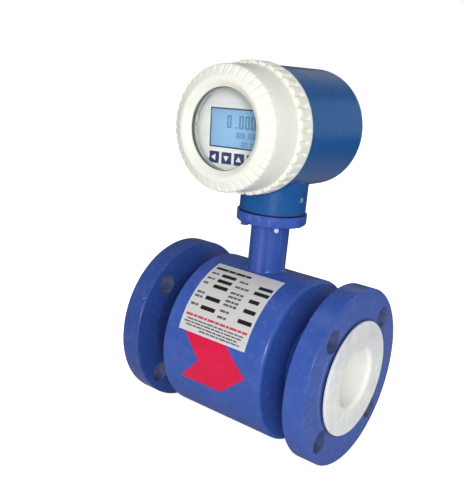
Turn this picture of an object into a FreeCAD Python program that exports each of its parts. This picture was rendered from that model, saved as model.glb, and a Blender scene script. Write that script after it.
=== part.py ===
"""Electromagnetic flow meter, size DN 50 (2 in), with its display head on a neck.

Frame: +X along the pipe in the direction of flow, -Y out of the display window, +Z up the neck.
The origin is on the axis of the bore, half way between the two sealing faces. Millimetres.
"""
import FreeCAD, Part
import os
import re
import Sketcher

SHEET = "Dims"

# name, value in millimetres (counts and degrees are plain numbers), what it is
DIMENSIONS = [
    # the pipe end connections
    ("face_to_face", 200, "length between the two sealing faces"),
    ("bore_radius", 25, "inside of the liner"),
    ("liner_wall", 3, "liner thickness in the tube"),
    ("flare_radius", 49.4, "liner folded over the raised face"),
    ("flare_thickness", 2, "thickness of the folded liner"),
    ("flare_round", 0.9, "rounding of the folded rim"),
    ("entry_round", 4, "rounding at both ends of the bore"),
    ("raised_face_radius", 46.05, "raised face of the flange"),
    ("raised_face_height", 1.6, "height of the raised face"),
    ("flange_radius", 76.2, "outside of the flange"),
    ("flange_thickness", 19.05, "flange without its raised face"),
    ("flange_round", 1.2, "rounding of the flange rim"),
    ("bolt_circle_radius", 60.325, "flange bolt circle"),
    ("bolt_hole_radius", 9.525, "flange bolt holes"),
    ("bolt_count", 4, "bolts in a flange"),
    ("tube_wall", 2.15, "stainless measuring tube"),
    # the coil housing
    ("shell_radius", 71.5, "outside of the rolled shell"),
    ("shell_wall", 3, "shell thickness"),
    ("housing_length", 105, "length over the plates that close the shell"),
    ("end_plate_thickness", 5, "plates that close the shell"),
    ("end_plate_round", 3.6, "rounding of the rim of these plates"),
    ("weld_leg", 4, "leg of the welds round the tube"),
    # electrodes
    ("electrode_radius", 4.5, "head of the electrode in the bore"),
    ("electrode_head", 1.5, "thickness of the electrode head"),
    ("electrode_stem_radius", 2, "stem of the electrode"),
    ("electrode_reach", 46, "distance of the stem end from the bore axis"),
    ("bush_radius", 4, "insulating bush in the tube wall"),
    ("bush_flange_radius", 7, "flange of the bush"),
    ("bush_flange", 2.5, "thickness of the bush flange above the tube"),
    ("washer_radius", 5.5, "spring washer under the nut"),
    ("washer_height", 1.4, "spring washer, squeezed"),
    ("electrode_nut", 3.8, "distance from axis to corner of the nut"),
    ("nut_height", 3.2, "height of the electrode nut"),
    # magnet system
    ("shoe_gap", 1, "air between tube and pole shoe"),
    ("shoe_thickness", 4, "pole shoe"),
    ("shoe_half_length", 24, "pole shoe along the pipe"),
    ("shoe_angle", 96, "arc of the pole shoe in degrees"),
    ("core_radius", 11, "core of the coil"),
    ("coil_radius", 25, "outside of the coil"),
    ("coil_height", 18, "height of the coil"),
    ("coil_gap", 1, "gap between coil and yoke"),
    ("yoke_radius", 66, "outside of the return yoke"),
    ("yoke_thickness", 3, "return yoke"),
    ("yoke_half_length", 15, "return yoke along the pipe"),
    ("coil_screw_radius", 2.5, "screw that holds yoke and core"),
    # the neck
    ("neck_radius", 16.7, "outside of the neck pipe"),
    ("neck_wall", 3.4, "neck pipe wall"),
    ("neck_weld", 2.4, "weld of the neck pipe on the shell"),
    ("disc_radius", 30.3, "disc on top of the neck pipe"),
    ("disc_bottom", 113, "height of the underside of the disc"),
    ("disc_thickness", 9.6, "thickness of the disc"),
    ("disc_round", 2.6, "rounding of the lower rim of the disc"),
    ("disc_socket", 5, "depth to which the pipe sits in the disc"),
    ("gasket_radius", 28.1, "outside of the neck gasket"),
    ("gasket_thickness", 1.2, "neck gasket"),
    ("neck_screw_circle", 23.2, "radius of the screw circle in the disc"),
    ("neck_screw_radius", 2, "screws that hold the head on the disc"),
    ("neck_screw_length", 20, "length of these screws under the head"),
    ("screw_clearance", 0.1, "gap round a screw in its hole"),
    # the head casting
    ("head_height", 193.5, "axis of the display head above the bore axis"),
    ("drum_radius", 50.2, "outside of the head casting"),
    ("drum_front", 34.6, "shoulder behind the cover, forward of the neck axis"),
    ("drum_rear", 52.4, "rear face, behind the neck axis"),
    ("drum_wall", 6, "rear wall of the casting"),
    ("drum_round", 4, "rounding of the rear rim"),
    ("cast_neck_radius", 28.6, "neck of the head casting"),
    ("cast_neck_bore", 18, "way for the wires"),
    ("cast_neck_blend", 4, "rounding where neck and drum meet"),
    ("spigot_radius", 47, "threaded spigot that carries the cover"),
    ("spigot_length", 15, "length of the spigot"),
    ("spigot_wall", 4, "spigot wall"),
    ("set_screw_height", 136.8, "height of the set screw in the cast neck"),
    ("set_screw_radius", 2.5, "set screw"),
    ("set_screw_length", 9, "set screw"),
    # the cover
    ("cover_gap", 0.3, "running gap between cover and casting"),
    ("cover_front", 78.5, "outer edge of the bevel, forward of the neck axis"),
    ("cover_front_radius", 47.85, "outer edge of the bevel"),
    ("crest_front", 84.3, "foremost ring of the cover"),
    ("crest_radius", 37, "radius of that ring"),
    ("crest_round", 2.4, "rounding of that ring"),
    ("lip_front", 79.3, "edge of the window opening"),
    ("lip_thickness", 1.7, "lip in front of the glass"),
    ("window_radius", 31.2, "window opening"),
    ("band_front", 50.5, "front of the fluted band"),
    ("band_root_radius", 49.3, "side wall where it meets the band"),
    ("band_radius", 52.3, "fluted band"),
    ("band_chamfer", 1, "chamfer of the band"),
    ("flute_count", 36, "flutes in the band"),
    ("flute_radius", 2.3, "cutter of the flutes"),
    ("flute_depth", 2, "depth of the flutes"),
    ("flute_rim", 3.4, "rim left behind the flutes"),
    ("serration_count", 40, "serrations in the bevel"),
    ("serration_radius", 1.4, "cutter of the serrations"),
    ("serration_depth", 0.9, "depth of a serration at the outer edge"),
    ("cover_bore_radius", 44.5, "inside of the cover"),
    ("cover_cavity_front", 76, "front of the hollow behind the bevel"),
    ("ring_groove_radius", 49.4, "groove for the seal ring"),
    ("ring_groove_width", 2.6, "groove for the seal ring"),
    ("ring_groove_lip", 2.8, "rear lip of the groove"),
    ("seal_ring_thickness", 1.8, "seal ring section"),
    ("glass_radius", 34.6, "window glass"),
    ("glass_thickness", 5, "window glass"),
    ("glass_gap", 0.3, "gap round the glass"),
    ("window_gasket", 0.6, "gasket in front of the glass"),
    ("retainer_radius", 36.1, "ring that holds the glass"),
    ("retainer_inner_radius", 31.6, "inside of that ring"),
    ("retainer_thickness", 4, "length of that ring"),
    ("retainer_boss_radius", 39.6, "boss in which that ring is screwed"),
    # the display
    ("display_turn", 2.5, "degrees by which the display and its boards are turned about the head axis"),
    ("facia_front", 62.6, "facia, forward of the neck axis"),
    ("facia_radius", 41.5, "facia"),
    ("facia_thickness", 2, "facia plate and skirt"),
    ("facia_depth", 9.6, "facia with its skirt"),
    ("display_width", 46, "opening for the display"),
    ("display_height", 29.4, "opening for the display"),
    ("panel_recess", 0.6, "display glass behind the facia"),
    ("panel_margin", 2.4, "display glass behind the edge of its opening"),
    ("panel_thickness", 2.3, "display glass"),
    ("key_width", 9.2, "key"),
    ("key_height", 8.6, "key"),
    ("key_pitch", 12.2, "distance between keys"),
    ("key_drop", 23.2, "keys below the head axis"),
    ("key_proud", 0.5, "key in front of the facia"),
    ("key_gap", 0.3, "gap round a key"),
    ("key_flange", 0.9, "flange behind the facia that keeps a key in"),
    ("key_travel", 0.6, "travel of a key"),
    ("board_thickness", 1.6, "circuit boards"),
    ("board_radius", 39, "display board"),
    ("inner_board_radius", 40, "boards in the casting"),
    ("pillar_circle", 35, "radius on which the pillars stand"),
    ("pillar_corner", 3.2, "distance from axis to corner of a pillar"),
    ("front_pillar_length", 48, "pillars in front of the main board"),
    ("rear_pillar_length", 24, "pillars behind the main board"),
    ("board_screw_radius", 1.5, "screws and studs of the boards"),
    # cable glands
    ("gland_drop", 16, "glands below the head axis"),
    ("gland_front", 4, "first gland, forward of the neck axis"),
    ("gland_spacing", 38, "distance between the glands"),
    ("boss_radius", 14, "boss for a gland"),
    ("boss_reach", 58, "face of the boss from the neck axis"),
    ("gland_thread_radius", 9.9, "M20 thread of the gland"),
    ("gland_bore_radius", 6.5, "bore of the gland"),
    ("gland_corner", 13.6, "distance from axis to corner of the gland"),
    ("gland_hex", 6, "thickness of the gland hexagon"),
    ("gland_neck", 8, "threaded end under the nut"),
    ("gland_nut_length", 17, "nut of the gland"),
    ("cable_radius", 4.5, "hole in the gland seal"),
    # what is stuck on the shell
    ("label_length", 70, "label along the pipe"),
    ("label_middle", -2, "middle of the label along the pipe"),
    ("label_start", 16.7, "lower edge of the label, degrees above the front"),
    ("label_sweep", 58, "arc of the label in degrees"),
    ("label_thickness", 0.25, "label"),
    ("arrow_thickness", 0.12, "arrow sticker"),
    ("arrow_tip", 37.9, "tip of the arrow along the pipe"),
    ("arrow_shoulder", 12.8, "shoulder of the arrow along the pipe"),
    ("arrow_notch", -12.8, "notch of the arrow along the pipe"),
    ("arrow_tail", -30.5, "tail of the arrow along the pipe"),
    ("arrow_half_width", 21.5, "half the width of the arrow"),
]

doc = FreeCAD.newDocument("flow_meter")
sheet = doc.addObject("Spreadsheet::Sheet", SHEET)
for row, (alias, value, note) in enumerate(DIMENSIONS, start=1):
    sheet.set(f"A{row}", note)
    sheet.set(f"B{row}", str(value))
    sheet.setAlias(f"B{row}", alias)
doc.recompute()

ALIASES = {alias for alias, _, _ in DIMENSIONS}
WORD = re.compile(r"[a-z][a-z_0-9]*")
pieces = []

# distances that several pieces share, written with the names of the sheet
LINER_OUTSIDE = "(bore_radius + liner_wall)"
TUBE_OUTSIDE = "(bore_radius + liner_wall + tube_wall)"
TUBE_END = "(face_to_face / 2 - flare_thickness)"
FLANGE_FACE = "(face_to_face / 2 - flare_thickness - raised_face_height)"
FLANGE_BACK = "(face_to_face / 2 - flare_thickness - raised_face_height - flange_thickness)"
SHELL_INSIDE = "(shell_radius - shell_wall)"
PLATE_FACE = "(housing_length / 2)"
SHELL_END = "(housing_length / 2 - end_plate_thickness)"
SHOE_INSIDE = "(bore_radius + liner_wall + tube_wall + shoe_gap)"
SHOE_OUTSIDE = "(bore_radius + liner_wall + tube_wall + shoe_gap + shoe_thickness)"
YOKE_INSIDE = "(yoke_radius - yoke_thickness)"
CORE_TOP = "sqrt((yoke_radius - yoke_thickness) ^ 2 - core_radius ^ 2)"
COIL_TOP = "(sqrt((yoke_radius - yoke_thickness) ^ 2 - coil_radius ^ 2) - coil_gap)"
BUSH_TOP = "(bore_radius + liner_wall + tube_wall + bush_flange)"
NECK_BORE = "(neck_radius - neck_wall)"
DISC_TOP = "(disc_bottom + disc_thickness)"
CAST_NECK_BOTTOM = "(disc_bottom + disc_thickness + gasket_thickness)"
SPIGOT_FRONT = "(drum_front + spigot_length)"
SPIGOT_BORE = "(spigot_radius - spigot_wall)"
CAVITY_REAR = "(drum_rear - drum_wall)"
COVER_REAR = "(drum_front + cover_gap)"
GLASS_FRONT = "(lip_front - lip_thickness - window_gasket)"
GLASS_REAR = "(lip_front - lip_thickness - window_gasket - glass_thickness)"
FACIA_BACK = "(facia_front - facia_thickness)"
DISPLAY_BOARD_FRONT = "(facia_front - facia_depth)"
DISPLAY_BOARD_REAR = "(facia_front - facia_depth - board_thickness)"
MAIN_BOARD_FRONT = "(facia_front - facia_depth - board_thickness - front_pillar_length)"
MAIN_BOARD_REAR = "(facia_front - facia_depth - 2 * board_thickness - front_pillar_length)"
POWER_BOARD_FRONT = (
    "(facia_front - facia_depth - 2 * board_thickness - front_pillar_length - rear_pillar_length)"
)
POWER_BOARD_REAR = (
    "(facia_front - facia_depth - 3 * board_thickness - front_pillar_length - rear_pillar_length)"
)

# how a profile is laid out and what it is turned about
ALONG_PIPE = ("XZ_Plane", "H_Axis")
UPRIGHT = ("XZ_Plane", "V_Axis")
THROUGH_HEAD = ("YZ_Plane", "H_Axis")

ALONG_X = FreeCAD.Rotation(FreeCAD.Vector(0, 1, 0), 90)
ALONG_MINUS_X = FreeCAD.Rotation(FreeCAD.Vector(0, 1, 0), -90)
ALONG_Y = FreeCAD.Rotation(FreeCAD.Vector(1, 0, 0), -90)
ALONG_Z = FreeCAD.Rotation()


def bound(text):
    """The expression with each named dimension written as a cell of the sheet."""
    return WORD.sub(lambda m: f"{SHEET}.{m.group()}" if m.group() in ALIASES else m.group(), text)


def number(text):
    """The value of an expression now."""
    return float(sheet.evalExpression(bound(text)))


def bind(item, sizes, place=("0", "0", "0")):
    """Binds the item's properties, and its place, to the sheet."""
    for name, text in sizes.items():
        item.setExpression(name, bound(text))
    for axis, text in zip("xyz", place):
        item.setExpression(f"Placement.Base.{axis}", bound(text))


def new_body(label, place=("0", "0", "0")):
    """An empty body, which becomes one named piece."""
    body = doc.addObject("PartDesign::Body", label)
    body.Label = label
    bind(body, {}, place)
    pieces.append(body)
    return body


def new_head_body(label):
    """A body whose own X axis and Y axis lie in the axis of the display head."""
    return new_body(label, ("0", "0", "head_height"))


def new_inner_body(label):
    """A body of the display or its boards, all turned together by a few degrees about the head axis."""
    body = new_head_body(label)
    body.Placement = FreeCAD.Placement(body.Placement.Base, display_turn())
    return body


def display_turn():
    """The turn that lifts the right-hand side of the display, as seen from the front."""
    return FreeCAD.Rotation(FreeCAD.Vector(0, -1, 0), number("display_turn"))


def origin_of(body, role):
    """An origin plane or axis of the body."""
    return next(item for item in body.Origin.OriginFeatures if item.Role == role)


def outline(body, plane, corners):
    """A closed sketch through the corners, each a pair of expressions.

    An edge whose ends share a coordinate is held level or upright, a zero is held on the axis,
    and every other coordinate is a dimension bound to the sheet.
    """
    sketch = body.newObject("Sketcher::SketchObject", body.Name + "_outline")
    sketch.AttachmentSupport = [(origin_of(body, plane), "")]
    sketch.MapMode = "FlatFace"
    points = [FreeCAD.Vector(number(x), number(y), 0) for x, y in corners]
    ends = points[1:] + points[:1]
    for start, end in zip(points, ends):
        sketch.addGeometry(Part.LineSegment(start, end), False)
    for line in range(len(corners)):
        follower = (line + 1) % len(corners)
        sketch.addConstraint(Sketcher.Constraint("Coincident", line, 2, follower, 1))
    kinds = (("Vertical", "DistanceX", -2), ("Horizontal", "DistanceY", -1))
    for line, corner in enumerate(corners):
        for way, (level, distance, axis) in enumerate(kinds):
            text = corner[way]
            if line and text == corners[line - 1][way]:
                sketch.addConstraint(Sketcher.Constraint(level, line - 1))
            elif text == "0":
                sketch.addConstraint(Sketcher.Constraint("PointOnObject", line, 1, axis))
            else:
                value = points[line][way]
                index = sketch.addConstraint(Sketcher.Constraint(distance, -1, 1, line, 1, value))
                sketch.setExpression(f"Constraints[{index}]", bound(text))
    return sketch


def turned(body, layout, corners, kind="Revolution"):
    """A profile turned a full circle; kind Groove takes it away."""
    plane, axis = layout
    sketch = outline(body, plane, corners)
    feature = body.newObject("PartDesign::" + kind, body.Name + "_" + kind.lower())
    feature.Profile = sketch
    feature.ReferenceAxis = (sketch, [axis])
    feature.Angle = 360
    return feature


def solid(body, kind, sizes, place=("0", "0", "0"), way=ALONG_Z):
    """A simple solid added to the body or taken from it, such as an AdditiveCylinder."""
    feature = body.newObject("PartDesign::" + kind, body.Name + "_" + kind.lower())
    feature.Placement = FreeCAD.Placement(FreeCAD.Vector(), way)
    bind(feature, sizes, place)
    return feature


def rod(body, radius, length, place, way=ALONG_Z, cut=False):
    """A round bar, or a round hole."""
    kind = "SubtractiveCylinder" if cut else "AdditiveCylinder"
    return solid(body, kind, {"Radius": radius, "Height": length}, place, way)


def hexagon(body, corner, length, place, way=ALONG_Z, cut=False):
    """A six-sided bar, or a six-sided socket."""
    kind = "SubtractivePrism" if cut else "AdditivePrism"
    feature = solid(body, kind, {"Circumradius": corner, "Height": length}, place, way)
    feature.Polygon = 6
    return feature


def block(body, width, depth, height, place, cut=False):
    """A box centred on its place in X and Z, and reaching depth behind it in Y."""
    kind = "SubtractiveBox" if cut else "AdditiveBox"
    x, y, z = place
    corner = (f"{x} - ({width}) / 2", y, f"{z} - ({height}) / 2")
    return solid(body, kind, {"Length": width, "Width": depth, "Height": height}, corner)


def around(body, features, role, count):
    """The features repeated evenly about an axis of the body."""
    pattern = body.newObject("PartDesign::PolarPattern", body.Name + "_pattern")
    pattern.Originals = features
    pattern.Axis = (origin_of(body, role), [""])
    pattern.Angle = 360
    bind(pattern, {"Occurrences": count})
    pattern.Placement = FreeCAD.Placement()
    body.Tip = pattern
    return pattern


def edges_where(shape, test):
    """The names of the shape's edges that pass the test."""
    return [f"Edge{n}" for n, edge in enumerate(shape.Edges, start=1) if test(edge)]


def ring_edge(axis, place, radius):
    """A test for a full circle at a place along an axis (0, 1 or 2), of a given radius."""
    def test(edge):
        curve = edge.Curve
        if not isinstance(curve, Part.Circle) or abs(curve.Radius - radius) > 0.01:
            return False
        return abs(curve.Center[axis] - place) < 0.01 and abs(abs(curve.Axis[axis]) - 1) < 1e-6
    return test


def seam_of(radius_of_a, radius_of_b):
    """A test for an edge that lies on two round walls, each given by its distance function and radius."""
    def test(edge):
        first, last = edge.ParameterRange
        samples = [edge.valueAt(first + (last - first) * part / 4) for part in range(5)]
        return all(
            abs(away(point) - radius) < 0.02
            for away, radius in (radius_of_a, radius_of_b)
            for point in samples
        )
    return test


def from_x_axis(point):
    return (point.y ** 2 + point.z ** 2) ** 0.5


def from_y_axis(point):
    return (point.x ** 2 + point.z ** 2) ** 0.5


def from_z_axis(point):
    return (point.x ** 2 + point.y ** 2) ** 0.5


def rounded(body, feature, radius, tests, kind="Fillet"):
    """A fillet, or a chamfer, on the feature's edges that pass one of the tests."""
    doc.recompute()
    names = edges_where(feature.Shape, lambda edge: any(test(edge) for test in tests))
    finish = body.newObject("PartDesign::" + kind, body.Name + "_" + kind.lower())
    finish.Base = (feature, names)
    bind_name = "Radius" if kind == "Fillet" else "Size"
    finish.setExpression(bind_name, bound(radius))
    return finish


def make_liner():
    """Fluoropolymer tube, folded over both raised faces, with a seat for each electrode."""
    body = new_body("liner")
    end = "face_to_face / 2"
    turned(body, ALONG_PIPE, [
        (f"-{end}", "bore_radius"), (f"-{end}", "flare_radius"),
        (f"-{TUBE_END}", "flare_radius"), (f"-{TUBE_END}", LINER_OUTSIDE),
        (TUBE_END, LINER_OUTSIDE), (TUBE_END, "flare_radius"),
        (end, "flare_radius"), (end, "bore_radius"),
    ])
    stem = "electrode_stem_radius"
    rod(body, stem, "electrode_reach * 2", ("0", "-electrode_reach", "0"), ALONG_Y, cut=True)
    seat = "(bore_radius + electrode_head)"
    holes = rod(body, "electrode_radius", f"2 * {seat}", ("0", f"-{seat}", "0"), ALONG_Y, cut=True)
    ends = [number(f"{side}{end}") for side in "+-"]
    folded = rounded(body, holes, "flare_round", [ring_edge(0, place, number("flare_radius")) for place in ends])
    rounded(body, folded, "entry_round", [ring_edge(0, place, number("bore_radius")) for place in ends])


def make_measuring_tube():
    """Non-magnetic tube that carries the liner, with a hole for each electrode's bush."""
    body = new_body("measuring_tube")
    turned(body, ALONG_PIPE, [
        (f"-{TUBE_END}", LINER_OUTSIDE), (f"-{TUBE_END}", TUBE_OUTSIDE),
        (TUBE_END, TUBE_OUTSIDE), (TUBE_END, LINER_OUTSIDE),
    ])
    rod(body, "bush_radius", f"2 * {TUBE_OUTSIDE}", ("0", f"-{TUBE_OUTSIDE}", "0"), ALONG_Y, cut=True)


def make_flange(label, side):
    """Flat welded flange with a raised face and its bolt holes either side of the centre lines."""
    body = new_body(label)
    face, back = f"{side}{FLANGE_FACE}", f"{side}{FLANGE_BACK}"
    raised = f"{side}{TUBE_END}"
    disc = turned(body, ALONG_PIPE, [
        (back, TUBE_OUTSIDE), (back, "flange_radius"), (face, "flange_radius"),
        (face, "raised_face_radius"), (raised, "raised_face_radius"), (raised, TUBE_OUTSIDE),
    ])
    rims = [ring_edge(0, number(place), number("flange_radius")) for place in (face, back)]
    rounded(body, disc, "flange_round", rims)
    across = "bolt_circle_radius * sin(180 deg / bolt_count)"
    up = "bolt_circle_radius * cos(180 deg / bolt_count)"
    start = FLANGE_BACK if side == "+" else f"-{TUBE_END}"
    length = "flange_thickness + raised_face_height"
    hole = rod(body, "bolt_hole_radius", length, (start, across, up), ALONG_X, cut=True)
    around(body, [hole], "X_Axis", "bolt_count")


def make_shell():
    """Rolled shell round the coils, with a hole under the neck for the wires."""
    body = new_body("coil_housing_shell")
    turned(body, ALONG_PIPE, [
        (f"-{SHELL_END}", SHELL_INSIDE), (f"-{SHELL_END}", "shell_radius"),
        (SHELL_END, "shell_radius"), (SHELL_END, SHELL_INSIDE),
    ])
    rod(body, NECK_BORE, "shell_radius", ("0", "0", "0"), cut=True)


def make_end_plate(label, side):
    """Ring plate welded on the end of the shell, with its rim ground round."""
    body = new_body(label)
    face, back = f"{side}{PLATE_FACE}", f"{side}{SHELL_END}"
    plate = turned(body, ALONG_PIPE, [
        (back, TUBE_OUTSIDE), (back, "shell_radius"), (face, "shell_radius"), (face, TUBE_OUTSIDE),
    ])
    rounded(body, plate, "end_plate_round", [ring_edge(0, number(face), number("shell_radius"))])


def make_tube_welds():
    """Fillet welds: tube to flange and tube to end plate, on each side."""
    body = new_body("tube_welds")
    top = f"({TUBE_OUTSIDE} + weld_leg)"
    for side in "+-":
        flange, plate = f"{side}{FLANGE_BACK}", f"{side}{PLATE_FACE}"
        corners = [
            [(flange, TUBE_OUTSIDE), (flange, top), (f"{flange} - {side}weld_leg", TUBE_OUTSIDE)],
            [(plate, TUBE_OUTSIDE), (plate, top), (f"{plate} + {side}weld_leg", TUBE_OUTSIDE)],
        ]
        for triangle in corners:
            turned(body, ALONG_PIPE, triangle)


def make_electrode(label, side):
    """Electrode with its disc in the liner and its stem out through the tube wall."""
    body = new_body(label)
    way = ALONG_Y if side == "+" else FreeCAD.Rotation(FreeCAD.Vector(1, 0, 0), 90)
    start = f"{side}bore_radius"
    rod(body, "electrode_radius - 0.05", "electrode_head", ("0", start, "0"), way)
    rod(body, "electrode_stem_radius - 0.05", "electrode_reach - bore_radius", ("0", start, "0"), way)


def make_bush(label, side):
    """Insulating bush that keeps the stem off the tube, with a flat underside on the tube's crown."""
    body = new_body(label)
    inside, outside = f"{side}{LINER_OUTSIDE}", f"{side}{BUSH_TOP}"
    seat = f"{side}{TUBE_OUTSIDE}"
    turned(body, THROUGH_HEAD, [
        (f"{inside} + {side}0.3", "electrode_stem_radius"), (f"{inside} + {side}0.3", "bush_radius - 0.05"),
        (seat, "bush_radius - 0.05"), (seat, "bush_flange_radius"),
        (outside, "bush_flange_radius"), (outside, "electrode_stem_radius"),
    ])


def make_electrode_fasteners():
    """A spring washer and a nut on each electrode stem."""
    washers = new_body("electrode_washers")
    nuts = new_body("electrode_nuts")
    over_washer = f"({BUSH_TOP} + washer_height)"
    for side, way in (("+", ALONG_Y), ("-", FreeCAD.Rotation(FreeCAD.Vector(1, 0, 0), 90))):
        turned(washers, THROUGH_HEAD, [
            (f"{side}{BUSH_TOP}", "electrode_stem_radius + 0.1"), (f"{side}{BUSH_TOP}", "washer_radius"),
            (f"{side}({BUSH_TOP} + washer_height / 2)", "washer_radius"),
            (f"{side}{over_washer}", "electrode_stem_radius + 1.2"),
            (f"{side}{over_washer}", "electrode_stem_radius + 0.1"),
        ])
        hexagon(nuts, "electrode_nut", "nut_height", ("0", f"{side}{over_washer}", "0"), way)
        rod(nuts, "electrode_stem_radius", "nut_height", ("0", f"{side}{over_washer}", "0"), way, cut=True)


def make_magnet(name, side):
    """Pole shoe with its core in one piece, and the coil on it, on one side of the tube."""
    shoe = new_body(f"{name}_pole_shoe")
    sketch_low, sketch_high = "-shoe_half_length", "shoe_half_length"
    turned(shoe, ALONG_PIPE, [
        (sketch_low, SHOE_INSIDE), (sketch_low, SHOE_OUTSIDE),
        (sketch_high, SHOE_OUTSIDE), (sketch_high, SHOE_INSIDE),
    ])
    # the shoe keeps only the arc over the tube
    edge = f"{SHOE_OUTSIDE} * cos(shoe_angle / 2 * 1 deg)"
    reach = f"2 * {SHOE_OUTSIDE}"
    low = f"{edge} - {reach}" if side == "+" else f"-({edge})"
    solid(shoe, "SubtractiveBox", {"Length": "4 * shoe_half_length", "Width": reach, "Height": reach},
          ("-2 * shoe_half_length", f"-{SHOE_OUTSIDE}", low))
    way = ALONG_Z if side == "+" else FreeCAD.Rotation(FreeCAD.Vector(1, 0, 0), 180)
    foot = f"({SHOE_INSIDE} + shoe_thickness / 4)"
    rod(shoe, "core_radius", f"{CORE_TOP} - {foot}", ("0", "0", f"{side}{foot}"), way)
    rod(shoe, "coil_screw_radius", YOKE_INSIDE, ("0", "0", f"{side}({YOKE_INSIDE} - 12)"), way, cut=True)
    coil = new_body(f"{name}_coil")
    foot = f"{side}({COIL_TOP} - coil_height)"
    rod(coil, "coil_radius", "coil_height", ("0", "0", foot), way)
    wound = rod(coil, "core_radius + 0.5", "coil_height", ("0", "0", foot), way, cut=True)
    rims = [ring_edge(2, number(place), number("coil_radius")) for place in (foot, f"{side}{COIL_TOP}")]
    rounded(coil, wound, "2", rims)


def make_yoke():
    """Steel band that closes the magnetic circuit round both coils."""
    body = new_body("return_yoke")
    turned(body, ALONG_PIPE, [
        ("-yoke_half_length", YOKE_INSIDE), ("-yoke_half_length", "yoke_radius"),
        ("yoke_half_length", "yoke_radius"), ("yoke_half_length", YOKE_INSIDE),
    ])
    rod(body, "coil_screw_radius", "2 * yoke_radius", ("0", "0", "-yoke_radius"), cut=True)
    screws = new_body("coil_screws")
    length = "yoke_thickness + 10"
    start = f"{YOKE_INSIDE} - 10"
    rod(screws, "coil_screw_radius - 0.05", length, ("0", "0", start))
    rod(screws, "coil_screw_radius * 1.7", "1.6", ("0", "0", "yoke_radius"))
    flip = FreeCAD.Rotation(FreeCAD.Vector(1, 0, 0), 180)
    rod(screws, "coil_screw_radius - 0.05", length, ("0", "0", f"-({start})"), flip)
    rod(screws, "coil_screw_radius * 1.7", "1.6", ("0", "0", "-yoke_radius"), flip)


def make_neck_pipe():
    """Pipe cut to sit on the shell, with its weld, which spreads onto the shell's curve."""
    pipe = doc.addObject("Part::Cylinder", "neck_pipe_outside")
    bind(pipe, {"Radius": "neck_radius", "Height": "disc_bottom + disc_socket"})
    saddle = doc.addObject("Part::Cylinder", "neck_pipe_saddle")
    saddle.Placement = FreeCAD.Placement(FreeCAD.Vector(), ALONG_X)
    bind(saddle, {"Radius": "shell_radius", "Height": "housing_length"}, ("-housing_length / 2", "0", "0"))
    joined = doc.addObject("Part::Fuse", "neck_pipe_on_shell")
    joined.Base = saddle
    joined.Tool = pipe
    doc.recompute()
    seam = seam_of((from_x_axis, number("shell_radius")), (from_z_axis, number("neck_radius")))
    leg = number("neck_weld")
    welded = doc.addObject("Part::Fillet", "neck_pipe_welded")
    welded.Base = joined
    welded.Edges = [
        (index, leg, leg) for index, edge in enumerate(joined.Shape.Edges, start=1) if seam(edge)
    ]
    bare = doc.addObject("Part::Cut", "neck_pipe_solid")
    bare.Base = welded
    bare.Tool = saddle
    bore = doc.addObject("Part::Cylinder", "neck_pipe_bore")
    bind(bore, {"Radius": NECK_BORE, "Height": "disc_bottom + disc_socket"})
    neck = doc.addObject("Part::Cut", "neck_pipe")
    neck.Label = "neck_pipe"
    neck.Base = bare
    neck.Tool = bore
    pieces.append(neck)


def make_neck_disc():
    """Disc welded on the pipe, with its lower rim rounded, and the gasket that lies on it."""
    across = "neck_screw_circle * sin(45 deg)"
    disc = new_body("neck_disc")
    socket = "(disc_bottom + disc_socket)"
    plate = turned(disc, UPRIGHT, [
        ("neck_radius", "disc_bottom"), ("disc_radius", "disc_bottom"), ("disc_radius", DISC_TOP),
        (NECK_BORE, DISC_TOP), (NECK_BORE, socket), ("neck_radius", socket),
    ])
    rounded(disc, plate, "disc_round", [ring_edge(2, number("disc_bottom"), number("disc_radius"))])
    hole_radius = "neck_screw_radius + screw_clearance"
    hole = rod(disc, hole_radius, "disc_thickness", (across, across, "disc_bottom"), cut=True)
    around(disc, [hole], "Z_Axis", "4")
    gasket = new_body("neck_gasket")
    turned(gasket, UPRIGHT, [
        ("cast_neck_bore", DISC_TOP), ("gasket_radius", DISC_TOP),
        ("gasket_radius", CAST_NECK_BOTTOM), ("cast_neck_bore", CAST_NECK_BOTTOM),
    ])
    hole = rod(gasket, hole_radius, "gasket_thickness", (across, across, DISC_TOP), cut=True)
    around(gasket, [hole], "Z_Axis", "4")


def make_neck_screws():
    """Four socket screws that come up through the disc into the head, and the set screw."""
    across = "neck_screw_circle * sin(45 deg)"
    head = "2 * neck_screw_radius"
    under = f"disc_bottom - {head}"
    screws = new_body("neck_screws")
    shank = rod(screws, "neck_screw_radius", "neck_screw_length", (across, across, "disc_bottom"))
    cap = rod(screws, "1.75 * neck_screw_radius", head, (across, across, under))
    socket = hexagon(screws, "0.85 * neck_screw_radius", "neck_screw_radius", (across, across, under), cut=True)
    around(screws, [shank, cap, socket], "Z_Axis", "4")
    screw = new_body("neck_set_screw")
    start = "cast_neck_radius - set_screw_length - 0.6"
    rod(screw, "set_screw_radius", "set_screw_length", (start, "0", "set_screw_height"), ALONG_X)
    hexagon(screw, "0.6 * set_screw_radius", "3", ("cast_neck_radius - 3.6", "0", "set_screw_height"),
            ALONG_X, cut=True)


def gland_places():
    """Where the two glands stand along Y, forward of the neck axis being negative."""
    return {"power": "-gland_front", "signal": "-gland_front + gland_spacing"}


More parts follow.
